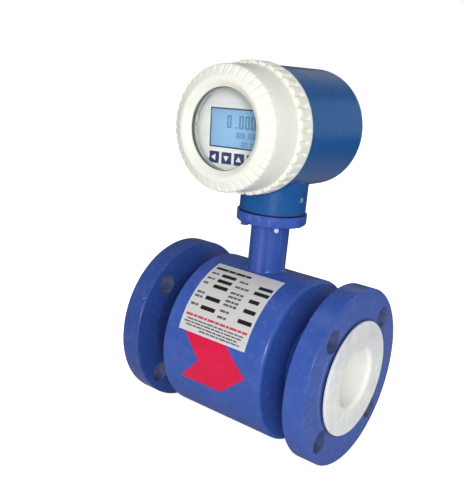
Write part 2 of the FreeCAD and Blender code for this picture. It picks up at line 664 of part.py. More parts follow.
def make_head_housing():
    """Aluminium casting: drum, threaded spigot, neck, gland bosses and inner pillars in one."""
    body = new_head_body("head_housing")
    front, rear = f"-{SPIGOT_FRONT}", "drum_rear"
    drum = turned(body, THROUGH_HEAD, [
        (front, "0"), (front, "spigot_radius"), ("-drum_front", "spigot_radius"),
        ("-drum_front", "drum_radius"), (rear, "drum_radius"), (rear, "0"),
    ])
    rounded(body, drum, "drum_round", [ring_edge(1, number(rear), number("drum_radius"))])
    for place in gland_places().values():
        rod(body, "boss_radius", "boss_reach", ("0", place, "-gland_drop"), ALONG_MINUS_X)
    neck_foot = f"{CAST_NECK_BOTTOM} - head_height"
    neck = rod(body, "cast_neck_radius", f"-({neck_foot})", ("0", "0", neck_foot))
    meeting = seam_of((from_y_axis, number("drum_radius")), (from_z_axis, number("cast_neck_radius")))
    rounded(body, neck, "cast_neck_blend", [lambda edge: meeting(edge) and edge.CenterOfMass.z < 0])
    turned(body, THROUGH_HEAD, [
        (front, "0"), (front, SPIGOT_BORE), (CAVITY_REAR, SPIGOT_BORE), (CAVITY_REAR, "0"),
    ], "Groove")
    rod(body, "cast_neck_bore", f"-({neck_foot})", ("0", "0", neck_foot), cut=True)
    for place in gland_places().values():
        rod(body, "gland_thread_radius + screw_clearance", "boss_reach - 36",
            ("-36", place, "-gland_drop"), ALONG_MINUS_X, cut=True)
    across = "neck_screw_circle * sin(45 deg)"
    hole = rod(body, "neck_screw_radius + screw_clearance", "neck_screw_length",
               (across, across, neck_foot), cut=True)
    around(body, [hole], "Z_Axis", "4")
    rod(body, "set_screw_radius + screw_clearance", "cast_neck_radius",
        ("0", "0", "set_screw_height - head_height"), ALONG_X, cut=True)
    stand = f"-{POWER_BOARD_REAR}"
    place = ("pillar_circle * cos(display_turn * 1 deg)", stand, "pillar_circle * sin(display_turn * 1 deg)")
    post = rod(body, "board_screw_radius * 3", f"{CAVITY_REAR} - ({stand}) + 1", place, ALONG_Y)
    pilot = rod(body, "board_screw_radius + screw_clearance", "8", place, ALONG_Y, cut=True)
    around(body, [post, pilot], "Y_Axis", "4")


def make_cover():
    """Screw-on cover: bevelled and serrated front ring, plain side wall, fluted band at the rear."""
    body = new_head_body("front_cover")
    seat = "(glass_radius + glass_gap)"
    thread = "(spigot_radius + cover_gap)"
    lip_back = "-(lip_front - lip_thickness)"
    boss_end = f"-({GLASS_REAR} - retainer_thickness - 1)"
    groove_rear = f"-({COVER_REAR} + ring_groove_lip)"
    groove_front = f"-({COVER_REAR} + ring_groove_lip + ring_groove_width)"
    ring = turned(body, THROUGH_HEAD, [
        ("-lip_front", "window_radius"), ("-crest_front", "crest_radius"),
        ("-cover_front", "cover_front_radius"), ("-band_front", "band_root_radius"),
        ("-band_front", "band_radius - band_chamfer"), ("-(band_front - band_chamfer)", "band_radius"),
        (f"-({COVER_REAR} + band_chamfer)", "band_radius"), (f"-{COVER_REAR}", "band_radius - band_chamfer"),
        (f"-{COVER_REAR}", thread), (groove_rear, thread), (groove_rear, "ring_groove_radius"),
        (groove_front, "ring_groove_radius"), (groove_front, thread), ("-band_front", thread),
        ("-(band_front + 2)", "cover_bore_radius"), ("-cover_cavity_front", "cover_bore_radius"),
        ("-cover_cavity_front", "retainer_boss_radius"), (boss_end, "retainer_boss_radius"),
        (boss_end, "retainer_radius + 0.1"), (f"-{GLASS_REAR}", "retainer_radius + 0.1"),
        (f"-{GLASS_REAR}", seat), (lip_back, seat), (lip_back, "window_radius"),
    ])
    crest = ring_edge(1, number("-crest_front"), number("crest_radius"))
    softened = rounded(body, ring, "crest_round", [crest])
    edge = ring_edge(1, number("-cover_front"), number("cover_front_radius"))
    rounded(body, softened, "0.8", [edge])
    doc.recompute()
    plain = body.Tip.Shape.Volume
    # both patterns start half a step round, so that no cut falls on the seam of the turned faces
    away = "(band_radius + flute_radius - flute_depth)"
    half_step = "180 deg / flute_count"
    flute = rod(body, "flute_radius", f"band_front - {COVER_REAR} - flute_rim + 2",
                (f"{away} * sin({half_step})", "-(band_front + 2)", f"{away} * cos({half_step})"),
                ALONG_Y, cut=True)
    flutes = around(body, [flute], "Y_Axis", "flute_count")
    doc.recompute()
    if flutes.Shape.Volume > plain - 100:
        raise RuntimeError("the flutes take nothing away")
    around(body, [bevel_cutter(body)], "Y_Axis", "serration_count")


def bevel_cutter(body):
    """A round cutter laid along the bevel, deepest at its outer edge and running out near the crest."""
    inner = FreeCAD.Vector(0, number("-crest_front"), number("crest_radius"))
    outer = FreeCAD.Vector(0, number("-cover_front"), number("cover_front_radius"))
    along = (outer - inner).normalize()
    outward = FreeCAD.Vector(0, -along.z, along.y)
    radius = number("serration_radius")
    depth = number("serration_depth")
    start = inner + along + outward * (radius + depth / 2)
    end = outer + outward * (radius - depth)
    line = (end - start).normalize()
    half_step = FreeCAD.Rotation(FreeCAD.Vector(0, 1, 0), 180 / number("serration_count"))
    laid = FreeCAD.Rotation(FreeCAD.Vector(0, 0, 1), line)
    cutter = body.newObject("PartDesign::SubtractiveCylinder", body.Name + "_serration")
    cutter.Placement = FreeCAD.Placement(half_step * start, half_step * laid)
    cutter.setExpression("Radius", bound("serration_radius"))
    cutter.Height = (end - start).Length + 6
    return cutter


def make_cover_inserts():
    """Seal ring, glass, its gasket and the ring that holds it: what is fitted in the cover."""
    groove_middle = f"({COVER_REAR} + ring_groove_lip + ring_groove_width / 2)"
    ring = doc.addObject("Part::Torus", "cover_seal_ring")
    ring.Label = "cover_seal_ring"
    ring.Placement = FreeCAD.Placement(FreeCAD.Vector(), ALONG_Y)
    middle = "(spigot_radius + cover_gap + ring_groove_radius) / 2"
    bind(ring, {"Radius1": middle, "Radius2": "seal_ring_thickness / 2"}, ("0", f"-{groove_middle}", "head_height"))
    pieces.append(ring)
    glass = new_head_body("window_glass")
    pane = rod(glass, "glass_radius", "glass_thickness", ("0", f"-{GLASS_FRONT}", "0"), ALONG_Y)
    faces = [ring_edge(1, number(f"-{place}"), number("glass_radius")) for place in (GLASS_FRONT, GLASS_REAR)]
    rounded(glass, pane, "0.5", faces, "Chamfer")
    gasket_front = f"-({GLASS_FRONT} + window_gasket)"
    turned(new_head_body("window_gasket"), THROUGH_HEAD, [
        (gasket_front, "window_radius + 0.3"), (gasket_front, "glass_radius"),
        (f"-{GLASS_FRONT}", "glass_radius"), (f"-{GLASS_FRONT}", "window_radius + 0.3"),
    ])
    retainer = new_head_body("glass_retaining_ring")
    rear = f"-({GLASS_REAR} - retainer_thickness)"
    turned(retainer, THROUGH_HEAD, [
        (f"-{GLASS_REAR}", "retainer_inner_radius"), (f"-{GLASS_REAR}", "retainer_radius"),
        (rear, "retainer_radius"), (rear, "retainer_inner_radius"),
    ])
    block(retainer, "2 * retainer_radius + 2", "2", "3", ("0", f"-({GLASS_REAR} - retainer_thickness + 2)", "0"),
          cut=True)


def key_places():
    """Where each key stands across the facia."""
    names = ("key_left", "key_down", "key_up", "key_enter")
    return {name: f"({index} - 1.5) * key_pitch" for index, name in enumerate(names)}


def make_facia():
    """Moulded facia: a dished plate with openings for the display and the keys."""
    body = new_inner_body("display_facia")
    back = f"-{FACIA_BACK}"
    foot = f"-{DISPLAY_BOARD_FRONT}"
    skirt = "(facia_radius - facia_thickness)"
    plate = turned(body, THROUGH_HEAD, [
        ("-facia_front", "0"), ("-facia_front", "facia_radius"), (foot, "facia_radius"),
        (foot, skirt), (back, skirt), (back, "0"),
    ])
    rounded(body, plate, "0.8", [ring_edge(1, number("-facia_front"), number("facia_radius"))])
    block(body, "display_width", "facia_thickness", "display_height", ("0", "-facia_front", "0"), cut=True)
    for place in key_places().values():
        block(body, "key_width + 2 * key_gap", "facia_thickness", "key_height + 2 * key_gap",
              (place, "-facia_front", "-key_drop"), cut=True)
    for side in "+-":
        place = ("0", back, f"{side}pillar_circle")
        rod(body, "board_screw_radius * 2", f"{FACIA_BACK} - {DISPLAY_BOARD_FRONT}", place, ALONG_Y)
        front = ("0", "-facia_front", f"{side}pillar_circle")
        rod(body, "board_screw_radius + screw_clearance", "facia_depth", front, ALONG_Y, cut=True)
        rod(body, "board_screw_radius * 1.9", "facia_thickness", front, ALONG_Y, cut=True)


def make_display():
    """Display glass behind the facia, and the frame that holds it on its board."""
    panel = new_inner_body("lcd_panel")
    front = "-(facia_front - panel_recess)"
    step = f"-({FACIA_BACK} - 0.1)"
    block(panel, "display_width - 0.4", "facia_thickness - panel_recess + 0.1", "display_height - 0.4",
          ("0", front, "0"))
    block(panel, "display_width + 2 * panel_margin", "panel_thickness", "display_height + 2 * panel_margin",
          ("0", step, "0"))
    frame = new_inner_body("lcd_frame")
    depth = f"{FACIA_BACK} - 0.1 - {DISPLAY_BOARD_FRONT}"
    block(frame, "display_width + 2 * panel_margin + 2", depth, "display_height + 2 * panel_margin + 2",
          ("0", step, "0"))
    block(frame, "display_width + 2 * panel_margin", "panel_thickness", "display_height + 2 * panel_margin",
          ("0", step, "0"), cut=True)


def make_keys():
    """Four keys that slide in the facia, each with a flange behind it and a stem to its switch."""
    for name, place in key_places().items():
        key = new_inner_body(name)
        flange_front = f"-({FACIA_BACK} - key_gap)"
        cap_depth = "facia_thickness + key_proud + key_gap"
        cap = block(key, "key_width", cap_depth, "key_height",
                    (place, "-(facia_front + key_proud)", "-key_drop"))
        face = number("-(facia_front + key_proud)")
        rounded(key, cap, "0.4", [
            lambda edge: all(abs(vertex.Y - face) < 0.01 for vertex in edge.Vertexes)
        ])
        block(key, "key_width + 3 * key_gap", "key_flange", "key_height + 3 * key_gap",
              (place, flange_front, "-key_drop"))
        stem = f"{FACIA_BACK} - key_gap - {DISPLAY_BOARD_FRONT} - 2.6"
        rod(key, "1.4", stem, (place, flange_front, "-key_drop"), ALONG_Y)
    switches = new_inner_body("key_switches")
    for place in key_places().values():
        block(switches, "6", "1.6", "6", (place, f"-({DISPLAY_BOARD_FRONT} + 1.6)", "-key_drop"))
        rod(switches, "1.2", "0.4", (place, f"-({DISPLAY_BOARD_FRONT} + 1.9)", "-key_drop"), ALONG_Y)


def make_board(label, radius, front):
    """Round circuit board with four holes for its screws or studs."""
    body = new_inner_body(label)
    rod(body, radius, "board_thickness", ("0", f"-{front}", "0"), ALONG_Y)
    hole = rod(body, "board_screw_radius + screw_clearance", "board_thickness",
               ("pillar_circle", f"-{front}", "0"), ALONG_Y, cut=True)
    around(body, [hole], "Y_Axis", "4")


def make_pillars(label, front, length):
    """Four hexagon pillars, each tapped in front and with a stud behind."""
    body = new_inner_body(label)
    place = ("pillar_circle", f"-{front}", "0")
    stud = rod(body, "board_screw_radius", f"{length} + 6", place, ALONG_Y)
    around(body, [stud], "Y_Axis", "4")
    post = hexagon(body, "pillar_corner", length, place, ALONG_Y)
    around(body, [post], "Y_Axis", "4")
    tapped = rod(body, "board_screw_radius + screw_clearance", "8", place, ALONG_Y, cut=True)
    around(body, [tapped], "Y_Axis", "4")


def make_board_screws():
    """Two screws through the facia, and two that hold the display board beside the display."""
    facia = new_inner_body("facia_screws")
    board = new_inner_body("display_board_screws")
    for side in "+-":
        seat = ("0", f"-{FACIA_BACK}", f"{side}pillar_circle")
        head = ("0", f"-({FACIA_BACK} + 1.6)", f"{side}pillar_circle")
        rod(facia, "board_screw_radius", f"{FACIA_BACK} - {DISPLAY_BOARD_REAR} + 6", seat, ALONG_Y)
        rod(facia, "board_screw_radius * 1.8", "1.6", head, ALONG_Y)
        seat = (f"{side}pillar_circle", f"-{DISPLAY_BOARD_FRONT}", "0")
        head = (f"{side}pillar_circle", f"-({DISPLAY_BOARD_FRONT} + 1.6)", "0")
        rod(board, "board_screw_radius", "board_thickness + 6", seat, ALONG_Y)
        rod(board, "board_screw_radius * 1.8", "1.6", head, ALONG_Y)


def make_board_parts():
    """Transformer, capacitors and the two terminal strips with their screws."""
    transformer = new_inner_body("power_transformer")
    block(transformer, "26", "17", "22", ("-8", f"-{POWER_BOARD_FRONT} - 17", "8"))
    capacitors = new_inner_body("smoothing_capacitors")
    for place in ("0", "13"):
        rod(capacitors, "5", "16", ("16", f"-{POWER_BOARD_FRONT} - 16", f"{place} - 2"), ALONG_Y)
    screws = new_inner_body("terminal_screws")
    strips = (("power_terminals", 3, "18"), ("signal_terminals", 6, "-18"))
    for label, ways, height in strips:
        strip = new_inner_body(label)
        block(strip, f"{ways} * 5.08", "12", "10", ("0", f"-{MAIN_BOARD_FRONT} - 12", height))
        for index in range(ways):
            across = f"({index} - {ways - 1} / 2) * 5.08"
            place = (across, f"-{MAIN_BOARD_FRONT} - 12", height)
            rod(strip, "1.9", "4", place, ALONG_Y, cut=True)
            rod(screws, "1.8", "2.5", (across, f"-{MAIN_BOARD_FRONT} - 10.5", height), ALONG_Y)


def make_gland(name, place):
    """Cable gland on the side of the casting: body, soft seal and nut. No cable is in it."""
    down = "-gland_drop"
    face = "-boss_reach"
    hex_end = "(-boss_reach - gland_hex)"
    neck_end = f"({hex_end} - gland_neck)"
    nut_start = f"({hex_end} - 0.6)"
    nut_end = f"({nut_start} - gland_nut_length)"
    dome = "6"
    body = new_head_body(f"{name}_gland_body")
    rod(body, "gland_thread_radius", "11", ("-boss_reach + 11", place, down), ALONG_MINUS_X)
    hexagon(body, "gland_corner", "gland_hex", (face, place, down), ALONG_MINUS_X)
    rod(body, "gland_thread_radius", "gland_neck", (hex_end, place, down), ALONG_MINUS_X)
    rod(body, "gland_bore_radius", "gland_neck + gland_hex + 11", ("-boss_reach + 11", place, down),
        ALONG_MINUS_X, cut=True)
    seal = new_head_body(f"{name}_gland_seal")
    length = f"{hex_end} - {nut_end}"
    rod(seal, "gland_bore_radius - 0.1", length, (hex_end, place, down), ALONG_MINUS_X)
    rod(seal, "cable_radius", length, (hex_end, place, down), ALONG_MINUS_X, cut=True)
    nut = new_head_body(f"{name}_gland_nut")
    grip = f"gland_nut_length - {dome}"
    hexagon(nut, "gland_corner", grip, (nut_start, place, down), ALONG_MINUS_X)
    solid(nut, "AdditiveCone", {"Radius1": "gland_corner * cos(30 deg)", "Radius2": "gland_bore_radius + 2",
                                "Height": dome}, (f"{nut_start} - ({grip})", place, down), ALONG_MINUS_X)
    rod(nut, "gland_thread_radius + 0.1", f"{nut_start} - {neck_end} + 0.5", (nut_start, place, down),
        ALONG_MINUS_X, cut=True)
    rod(nut, "gland_bore_radius", "gland_nut_length", (nut_start, place, down), ALONG_MINUS_X, cut=True)


def make_label():
    """Foil label bent round the shell, above its front."""
    outer = doc.addObject("Part::Cylinder", "rating_label_outside")
    inner = doc.addObject("Part::Cylinder", "rating_label_inside")
    start = "label_middle - label_length / 2"
    for item, radius in ((outer, "shell_radius + label_thickness"), (inner, "shell_radius")):
        # the cylinder's own X axis is turned to the front of the shell, then up by the start angle
        item.Placement = FreeCAD.Placement(FreeCAD.Vector(), label_turn())
        bind(item, {"Radius": radius, "Height": "label_length", "Angle": "label_sweep"}, (start, "0", "0"))
    label = doc.addObject("Part::Cut", "rating_label")
    label.Label = "rating_label"
    label.Base = outer
    label.Tool = inner
    pieces.append(label)
    return label


def label_turn():
    """The turn that lays a part-cylinder along X with its arc starting above the front of the shell."""
    across = FreeCAD.Vector(1, 0, 0)
    start = FreeCAD.Rotation(across, 180 - number("label_start") - number("label_sweep"))
    sideways = FreeCAD.Rotation(FreeCAD.Vector(0, 1, 0), FreeCAD.Vector(0, 0, 1), across, "ZXY")
    return start * sideways


def make_arrow(label):
    """Flow arrow with a notched tail, stuck on the front of the shell, its top edge under the label."""
    shape = doc.addObject("PartDesign::Body", "flow_arrow_outline")
    corners = [
        ("arrow_tip", "0"), ("arrow_shoulder", "arrow_half_width"), ("arrow_tail", "arrow_half_width"),
        ("arrow_notch", "0"), ("arrow_tail", "-arrow_half_width"), ("arrow_shoulder", "-arrow_half_width"),
    ]
    sketch = outline(shape, "XZ_Plane", corners)
    pad = shape.newObject("PartDesign::Pad", "flow_arrow_pad")
    pad.Profile = sketch
    pad.setExpression("Length", bound("shell_radius + 5"))
    skin_outside = doc.addObject("Part::Cylinder", "flow_arrow_outside")
    skin_inside = doc.addObject("Part::Cylinder", "flow_arrow_inside")
    for item, radius in ((skin_outside, "shell_radius + arrow_thickness"), (skin_inside, "shell_radius")):
        item.Placement = FreeCAD.Placement(FreeCAD.Vector(), ALONG_X)
        bind(item, {"Radius": radius, "Height": "housing_length"}, ("-housing_length / 2", "0", "0"))
    skin = doc.addObject("Part::Cut", "flow_arrow_skin")
    skin.Base = skin_outside
    skin.Tool = skin_inside
    cut_out = doc.addObject("Part::Common", "flow_arrow_cut_out")
    cut_out.Base = skin
    cut_out.Tool = shape
    arrow = doc.addObject("Part::Cut", "flow_arrow")
    arrow.Label = "flow_arrow"
    arrow.Base = cut_out
    arrow.Tool = label
    pieces.append(arrow)


def build():
    """Every piece of the meter, from the pipe up to the head."""
    make_liner()
    make_measuring_tube()
    make_flange("inlet_flange", "-")
    make_flange("outlet_flange", "+")
    make_shell()
    make_end_plate("inlet_end_plate", "-")
    make_end_plate("outlet_end_plate", "+")
    make_tube_welds()
    for name, side in (("front", "-"), ("rear", "+")):
        make_electrode(f"{name}_electrode", side)
        make_bush(f"{name}_electrode_bush", side)
    make_electrode_fasteners()
    make_magnet("upper", "+")
    make_magnet("lower", "-")
    make_yoke()
    make_neck_pipe()
    make_neck_disc()
    make_neck_screws()
    make_head_housing()
    make_cover()
    make_cover_inserts()
    make_facia()
    make_display()
    make_keys()
    make_board("display_board", "board_radius", DISPLAY_BOARD_FRONT)
    make_board("main_board", "inner_board_radius", MAIN_BOARD_FRONT)
    make_board("power_board", "inner_board_radius", POWER_BOARD_FRONT)
    make_pillars("front_pillars", DISPLAY_BOARD_REAR, "front_pillar_length")
    make_pillars("rear_pillars", MAIN_BOARD_REAR, "rear_pillar_length")
    make_board_screws()
    make_board_parts()
    for name, place in gland_places().items():
        make_gland(name, place)
    make_arrow(make_label())


def check_and_export():
    """Stops on anything that failed, then writes one STEP file for each piece."""
    doc.recompute()
    for item in doc.Objects:
        if "Invalid" in item.State or "Error" in item.State:
            raise RuntimeError(f"{item.Name} did not recompute: {item.State}")
    for piece in pieces:
        if piece.Shape.isNull() or not piece.Shape.isValid() or not piece.Shape.Solids:
            raise RuntimeError(f"{piece.Label} has no valid solid")
    os.makedirs("parts", exist_ok=True)
    for piece in pieces:
        piece.Shape.exportStep(f"parts/{piece.Label}.step")
        print(piece.Label, len(piece.Shape.Solids), "solids", round(piece.Shape.Volume), "mm3")


build()
check_and_export()
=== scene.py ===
"""Electromagnetic flow meter: its looks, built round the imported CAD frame. Metres, Z up."""
import math

import bmesh
import bpy
from bpy.props import FloatProperty, FloatVectorProperty, IntProperty, PointerProperty
from mathutils import Matrix, Vector


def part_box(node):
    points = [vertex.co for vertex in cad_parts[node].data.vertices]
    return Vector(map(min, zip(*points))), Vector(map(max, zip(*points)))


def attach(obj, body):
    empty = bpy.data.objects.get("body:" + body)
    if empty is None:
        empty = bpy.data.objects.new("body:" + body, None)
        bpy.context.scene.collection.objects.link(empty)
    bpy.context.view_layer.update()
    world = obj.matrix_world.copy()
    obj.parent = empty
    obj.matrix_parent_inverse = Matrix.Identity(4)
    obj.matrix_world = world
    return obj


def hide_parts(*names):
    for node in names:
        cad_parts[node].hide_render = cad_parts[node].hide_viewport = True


bl_info = {
    "name": "Electromagnetic flow meter",
    "version": (1, 0, 0),
    "blender": (4, 5, 0),
    "location": "View3D > Sidebar > Flow meter",
    "description": "Builds the finishes, printing and fine pieces of a flanged flow meter on its CAD frame",
    "category": "Object",
}

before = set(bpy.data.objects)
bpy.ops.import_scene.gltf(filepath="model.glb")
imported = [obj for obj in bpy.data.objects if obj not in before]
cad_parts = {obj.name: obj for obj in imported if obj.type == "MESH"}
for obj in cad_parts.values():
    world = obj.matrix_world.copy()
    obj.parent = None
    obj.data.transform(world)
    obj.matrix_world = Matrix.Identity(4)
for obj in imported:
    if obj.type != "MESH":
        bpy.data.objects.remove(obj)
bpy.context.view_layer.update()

MM = 0.001

# the places that the pieces below are built from, all read from the frame
SHELL_LOW, SHELL_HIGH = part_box("coil_housing_shell")
SHELL_RADIUS = (SHELL_HIGH.y - SHELL_LOW.y) / 2
BAND_LOW, BAND_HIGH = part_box("front_cover")
HEAD_HEIGHT = (BAND_LOW.z + BAND_HIGH.z) / 2
COVER_FRONT, COVER_REAR = BAND_LOW.y, BAND_HIGH.y
BAND_RADIUS = (BAND_HIGH.z - BAND_LOW.z) / 2
FACIA_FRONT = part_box("display_facia")[0].y
PANEL_LOW, PANEL_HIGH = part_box("lcd_panel")
FLANGE_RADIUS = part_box("outlet_flange")[1].z
LABEL_LOW, LABEL_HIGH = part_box("rating_label")
LINER_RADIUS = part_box("liner")[1].z
GLASS_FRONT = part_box("window_glass")[0].y

# sizes of the pieces that their boxes don't give
SCREW_REACH = 26.7 * MM
BOLT_CIRCLE_RADIUS, BOLT_HOLE_RADIUS = 60.325 * MM, 9.525 * MM
BORE_RADIUS = 25.0 * MM
TUBE_RADIUS = 30.15 * MM
# the label starts 16.7 degrees above the front of the shell and runs on for 58
LABEL_TOP_ANGLE = math.radians(16.7 + 58)
LABEL_THICKNESS, ARROW_THICKNESS, FILM_ROW = 0.2 * MM, 0.12 * MM, 1.2 * MM

# the display and its keys are turned by this much about the head's axis, as in the frame
DISPLAY_TURN = math.radians(2.5)


def linear(code):
    """An sRGB hex colour as linear red, green and blue."""
    parts = (int(code[i:i + 2], 16) / 255 for i in (1, 3, 5))
    return tuple(c / 12.92 if c <= 0.04045 else ((c + 0.055) / 1.055) ** 2.4 for c in parts)


def colour(name, description, code):
    """A colour that a user can change, with its default as a hex code."""
    return FloatVectorProperty(
        name=name, description=description, subtype="COLOR", size=3, min=0, max=1, default=linear(code)
    )


def length(name, description, millimetres):
    """A length that a user can change."""
    return FloatProperty(
        name=name, description=description, subtype="DISTANCE", unit="LENGTH", min=0, default=millimetres * MM
    )


def number_of(name, description, default):
    """A number of like shapes round a circle that a user can change."""
    return IntProperty(name=name, description=description, default=default, min=3)


def lamp_power(name, description, watts):
    """A lamp's power that a user can change."""
    return FloatProperty(
        name=name, description=description, subtype="POWER", unit="POWER", min=0, default=watts
    )


class FlowMeterColours(bpy.types.PropertyGroup):
    """Colours of the finishes"""
    sensor: colour("Sensor enamel", "Enamel on the flanges, coil housing and neck", "#3859AB")
    head: colour("Head powder coat", "Powder coat on the head casting", "#145595")
    cover: colour("Cover powder coat", "Powder coat on the window cover", "#EDEDE2")
    liner: colour("Liner", "Fluoropolymer of the liner", "#F1F3EE")
    facia: colour("Facia", "Film on the facia", "#E9E7E5")
    display: colour("Display", "Backlit display", "#84AED4")
    segment: colour("Display segments", "Dark segments of the display", "#427AA8")
    key: colour("Keys", "Rubber keys", "#22265A")
    symbol: colour("Key symbols", "Printing on the keys", "#E6E8F2")
    label: colour("Label", "Printed ground of the label", "#D8D6D5")
    label_edge: colour("Label edge", "Bare film round the label's printing", "#D6D7DF")
    ink: colour("Label ink", "Dark printing on the label", "#191A1F")
    accent: colour("Arrow and accent", "Red film and red printing", "#DC0A44")


class FlowMeterSizes(bpy.types.PropertyGroup):
    """Sizes of the fine pieces"""
    flute_count: number_of("Flutes", "Flutes in the rear band of the cover", 36)
    flute_depth: length("Flute depth", "How deep a flute is", 2.0)
    serration_count: number_of("Serrations", "Serrations in the front ring", 40)
    serration_depth: length("Serration depth", "How deep a serration is at the outer edge", 0.85)
    thread_pitch: length("Thread pitch", "Pitch of the cover's thread", 2.0)
    digit_height: length("Digit height", "Height of the large digits", 9.9)
    label_margin: length("Label margin", "Bare edge round the label's printing", 1.3)


class FlowMeterStage(bpy.types.PropertyGroup):
    """Floor, light and camera"""
    lens: FloatProperty(name="Lens", description="Focal length of the camera", subtype="DISTANCE_CAMERA",
                        unit="CAMERA", default=49.994, min=1)
    key_power: lamp_power("Key light", "Power of the key light", 6.0)
    front_power: lamp_power("Front light", "Power of the wide light in front", 17.0)
    left_power: lamp_power("Left light", "Power of the wide light on the left", 3.0)
    sky: FloatProperty(name="Sky", description="Strength of the soft light from all sides",
                       default=0.52, min=0)
    reflected: FloatProperty(name="Reflected sky", description="Brightness of the sky in reflections",
                             default=0.12, min=0)


def colours():
    return bpy.context.scene.flow_meter_colours


def sizes():
    return bpy.context.scene.flow_meter_sizes


# ---------------------------------------------------------------- materials


def add(tree, kind, settings=None, links=None):
    """Adds a node, sets its properties or inputs by name, and links its inputs to other nodes' outputs."""
    item = tree.nodes.new(kind)
    for key, value in (settings or {}).items():
        if isinstance(key, int) or key in item.inputs:
            item.inputs[key].default_value = value
        else:
            setattr(item, key, value)
    for key, source in (links or {}).items():
        node, output = source if isinstance(source, tuple) else (source, 0)
        tree.links.new(node.outputs[output], item.inputs[key])
    return item


def new_material(name):
    """A material with an empty tree and its output node."""
    material = bpy.data.materials.new(name)
    material.use_nodes = True
    material.node_tree.nodes.clear()
    output = add(material.node_tree, "ShaderNodeOutputMaterial")
    return material, material.node_tree, output


def rgba(values):
    return (*values, 1.0)


def shade(values, factor):
    """The colour made lighter or darker."""
    return tuple(min(1.0, c * factor) for c in values)


def object_coordinates(tree):
    return (add(tree, "ShaderNodeTexCoord"), "Object")


def noise(tree, size, detail=3.0, roughness=0.55, seed=0.0, stretch=(1, 1, 1)):
    """Noise whose largest features are as wide as size, in metres, and longer along a stretched axis."""
    place = object_coordinates(tree)
    if seed or stretch != (1, 1, 1):
        place = add(tree, "ShaderNodeMapping",
                    {"Location": (seed, seed * 0.7, -seed), "Scale": tuple(1 / s for s in stretch)},
                    {"Vector": place})
    return add(tree, "ShaderNodeTexNoise", {"Scale": 1 / size, "Detail": detail, "Roughness": roughness},
               {"Vector": place})


def distance_from(tree, keep, centre=None):
    """Distance from an axis through the origin; keep is 0 for the axis's own coordinate and 1 for the others.

    With a centre, the four quarters round the axis are folded onto one and the distance is from there.
    """
    flat = add(tree, "ShaderNodeMapping", {"Scale": keep}, {"Vector": object_coordinates(tree)})
    if centre:
        folded = add(tree, "ShaderNodeVectorMath", {"operation": "ABSOLUTE"}, {0: flat})
        flat = add(tree, "ShaderNodeVectorMath", {"operation": "SUBTRACT", 1: centre}, {0: folded})
    return (add(tree, "ShaderNodeVectorMath", {"operation": "LENGTH"}, {0: flat}), "Value")


def times(tree, first, second):
    """Two masks multiplied."""
    return add(tree, "ShaderNodeMath", {"operation": "MULTIPLY"}, {0: first, 1: second})


def remap(tree, source, low, high, to_low, to_high):
    """The source's range low to high, spread over another range."""
    return add(tree, "ShaderNodeMapRange",
               {"From Min": low, "From Max": high, "To Min": to_low, "To Max": to_high}, {"Value": source})


def blend_colour(tree, factor, first, second):
    """A mix of two colours, each a constant or a node."""
    mix = add(tree, "ShaderNodeMix", {"data_type": "RGBA"}, {0: factor})
    for socket, value in ((6, first), (7, second)):
        node, output = value if isinstance(value, tuple) and len(value) == 2 else (value, 0)
        if isinstance(node, bpy.types.Node):
            tree.links.new(node.outputs[output], mix.inputs[socket])
        else:
            mix.inputs[socket].default_value = rgba(value)
    return (mix, 2)


def mottled(tree, pattern, base, dark, light, low=0.3, high=0.7):
    """The colour made darker and lighter by a pattern that runs from low to high."""
    return blend_colour(tree, remap(tree, pattern, low, high, 0, 1), shade(base, dark), shade(base, light))


def height_map(tree, source, distance, strength):
    """A bump whose full height is distance, in metres."""
    return add(tree, "ShaderNodeBump", {"Distance": distance, "Strength": strength}, {"Height": source})


def finish(tree, output, settings, links):
    """The surface shader, joined to the output."""
    shader = add(tree, "ShaderNodeBsdfPrincipled", settings, links)
    tree.links.new(shader.outputs[0], output.inputs["Surface"])
    return shader


def sprayed_coat(name, base, roughness, peel_size, peel_depth, cloud):
    """Paint on metal: soft clouds in the colour and orange peel in the surface."""
    material, tree, output = new_material(name)
    clouds = noise(tree, 0.045, 4.0)
    tone = mottled(tree, clouds, base, 1 - cloud, 1 + cloud)
    rough = remap(tree, noise(tree, 0.012, 3.0, 0.6, 1.7), 0.3, 0.7, roughness - 0.05, roughness + 0.07)
    peel = height_map(tree, noise(tree, peel_size, 2.0, 0.5, 0.9), peel_depth, 0.5)
    finish(tree, output, {"IOR": 1.5, "Metallic": 0.0},
           {"Base Color": tone, "Roughness": rough, "Normal": peel})
    return material


def sensor_enamel(name, deep=1.0, blotch=0.3, run=(1, 1, 1), wear_and_painted_light=None):
    """Alkyd enamel, brushed on and left to flow: deep half-gloss with pale and dark runs in a wavy skin."""
    base = shade(tuple(colours().sensor), deep)
    material, tree, output = new_material(name)
    clouds = noise(tree, 0.05, 4.0)
    tone = mottled(tree, clouds, base, 0.93, 1.07)
    pale = remap(tree, noise(tree, 0.007, 3.0, 0.6, 3.1, run), 0.52, 0.72, 0, blotch)
    tone = blend_colour(tree, pale, tone, shade(linear("#646FC4"), deep))
    dark = remap(tree, noise(tree, 0.009, 3.0, 0.6, 7.7, run), 0.52, 0.72, 0, blotch)
    tone = blend_colour(tree, dark, tone, shade(linear("#27479A"), deep))
    rough = remap(tree, noise(tree, 0.014, 3.0, 0.6, 1.7, run), 0.3, 0.7, 0.17, 0.28)
    skin = noise(tree, 0.004, 2.0, 0.5, 0.9, run)
    # wear, stains and painted light laid over the enamel: painted shade, painted highlights and painted
    # glints
    if wear_and_painted_light:
        tone, rough = wear_and_painted_light(tree, tone, rough)
    finish(tree, output, {"IOR": 1.5, "Metallic": 0.0},
           {"Base Color": tone, "Roughness": rough, "Normal": height_map(tree, skin, 0.07 * MM, 0.5)})
    return material


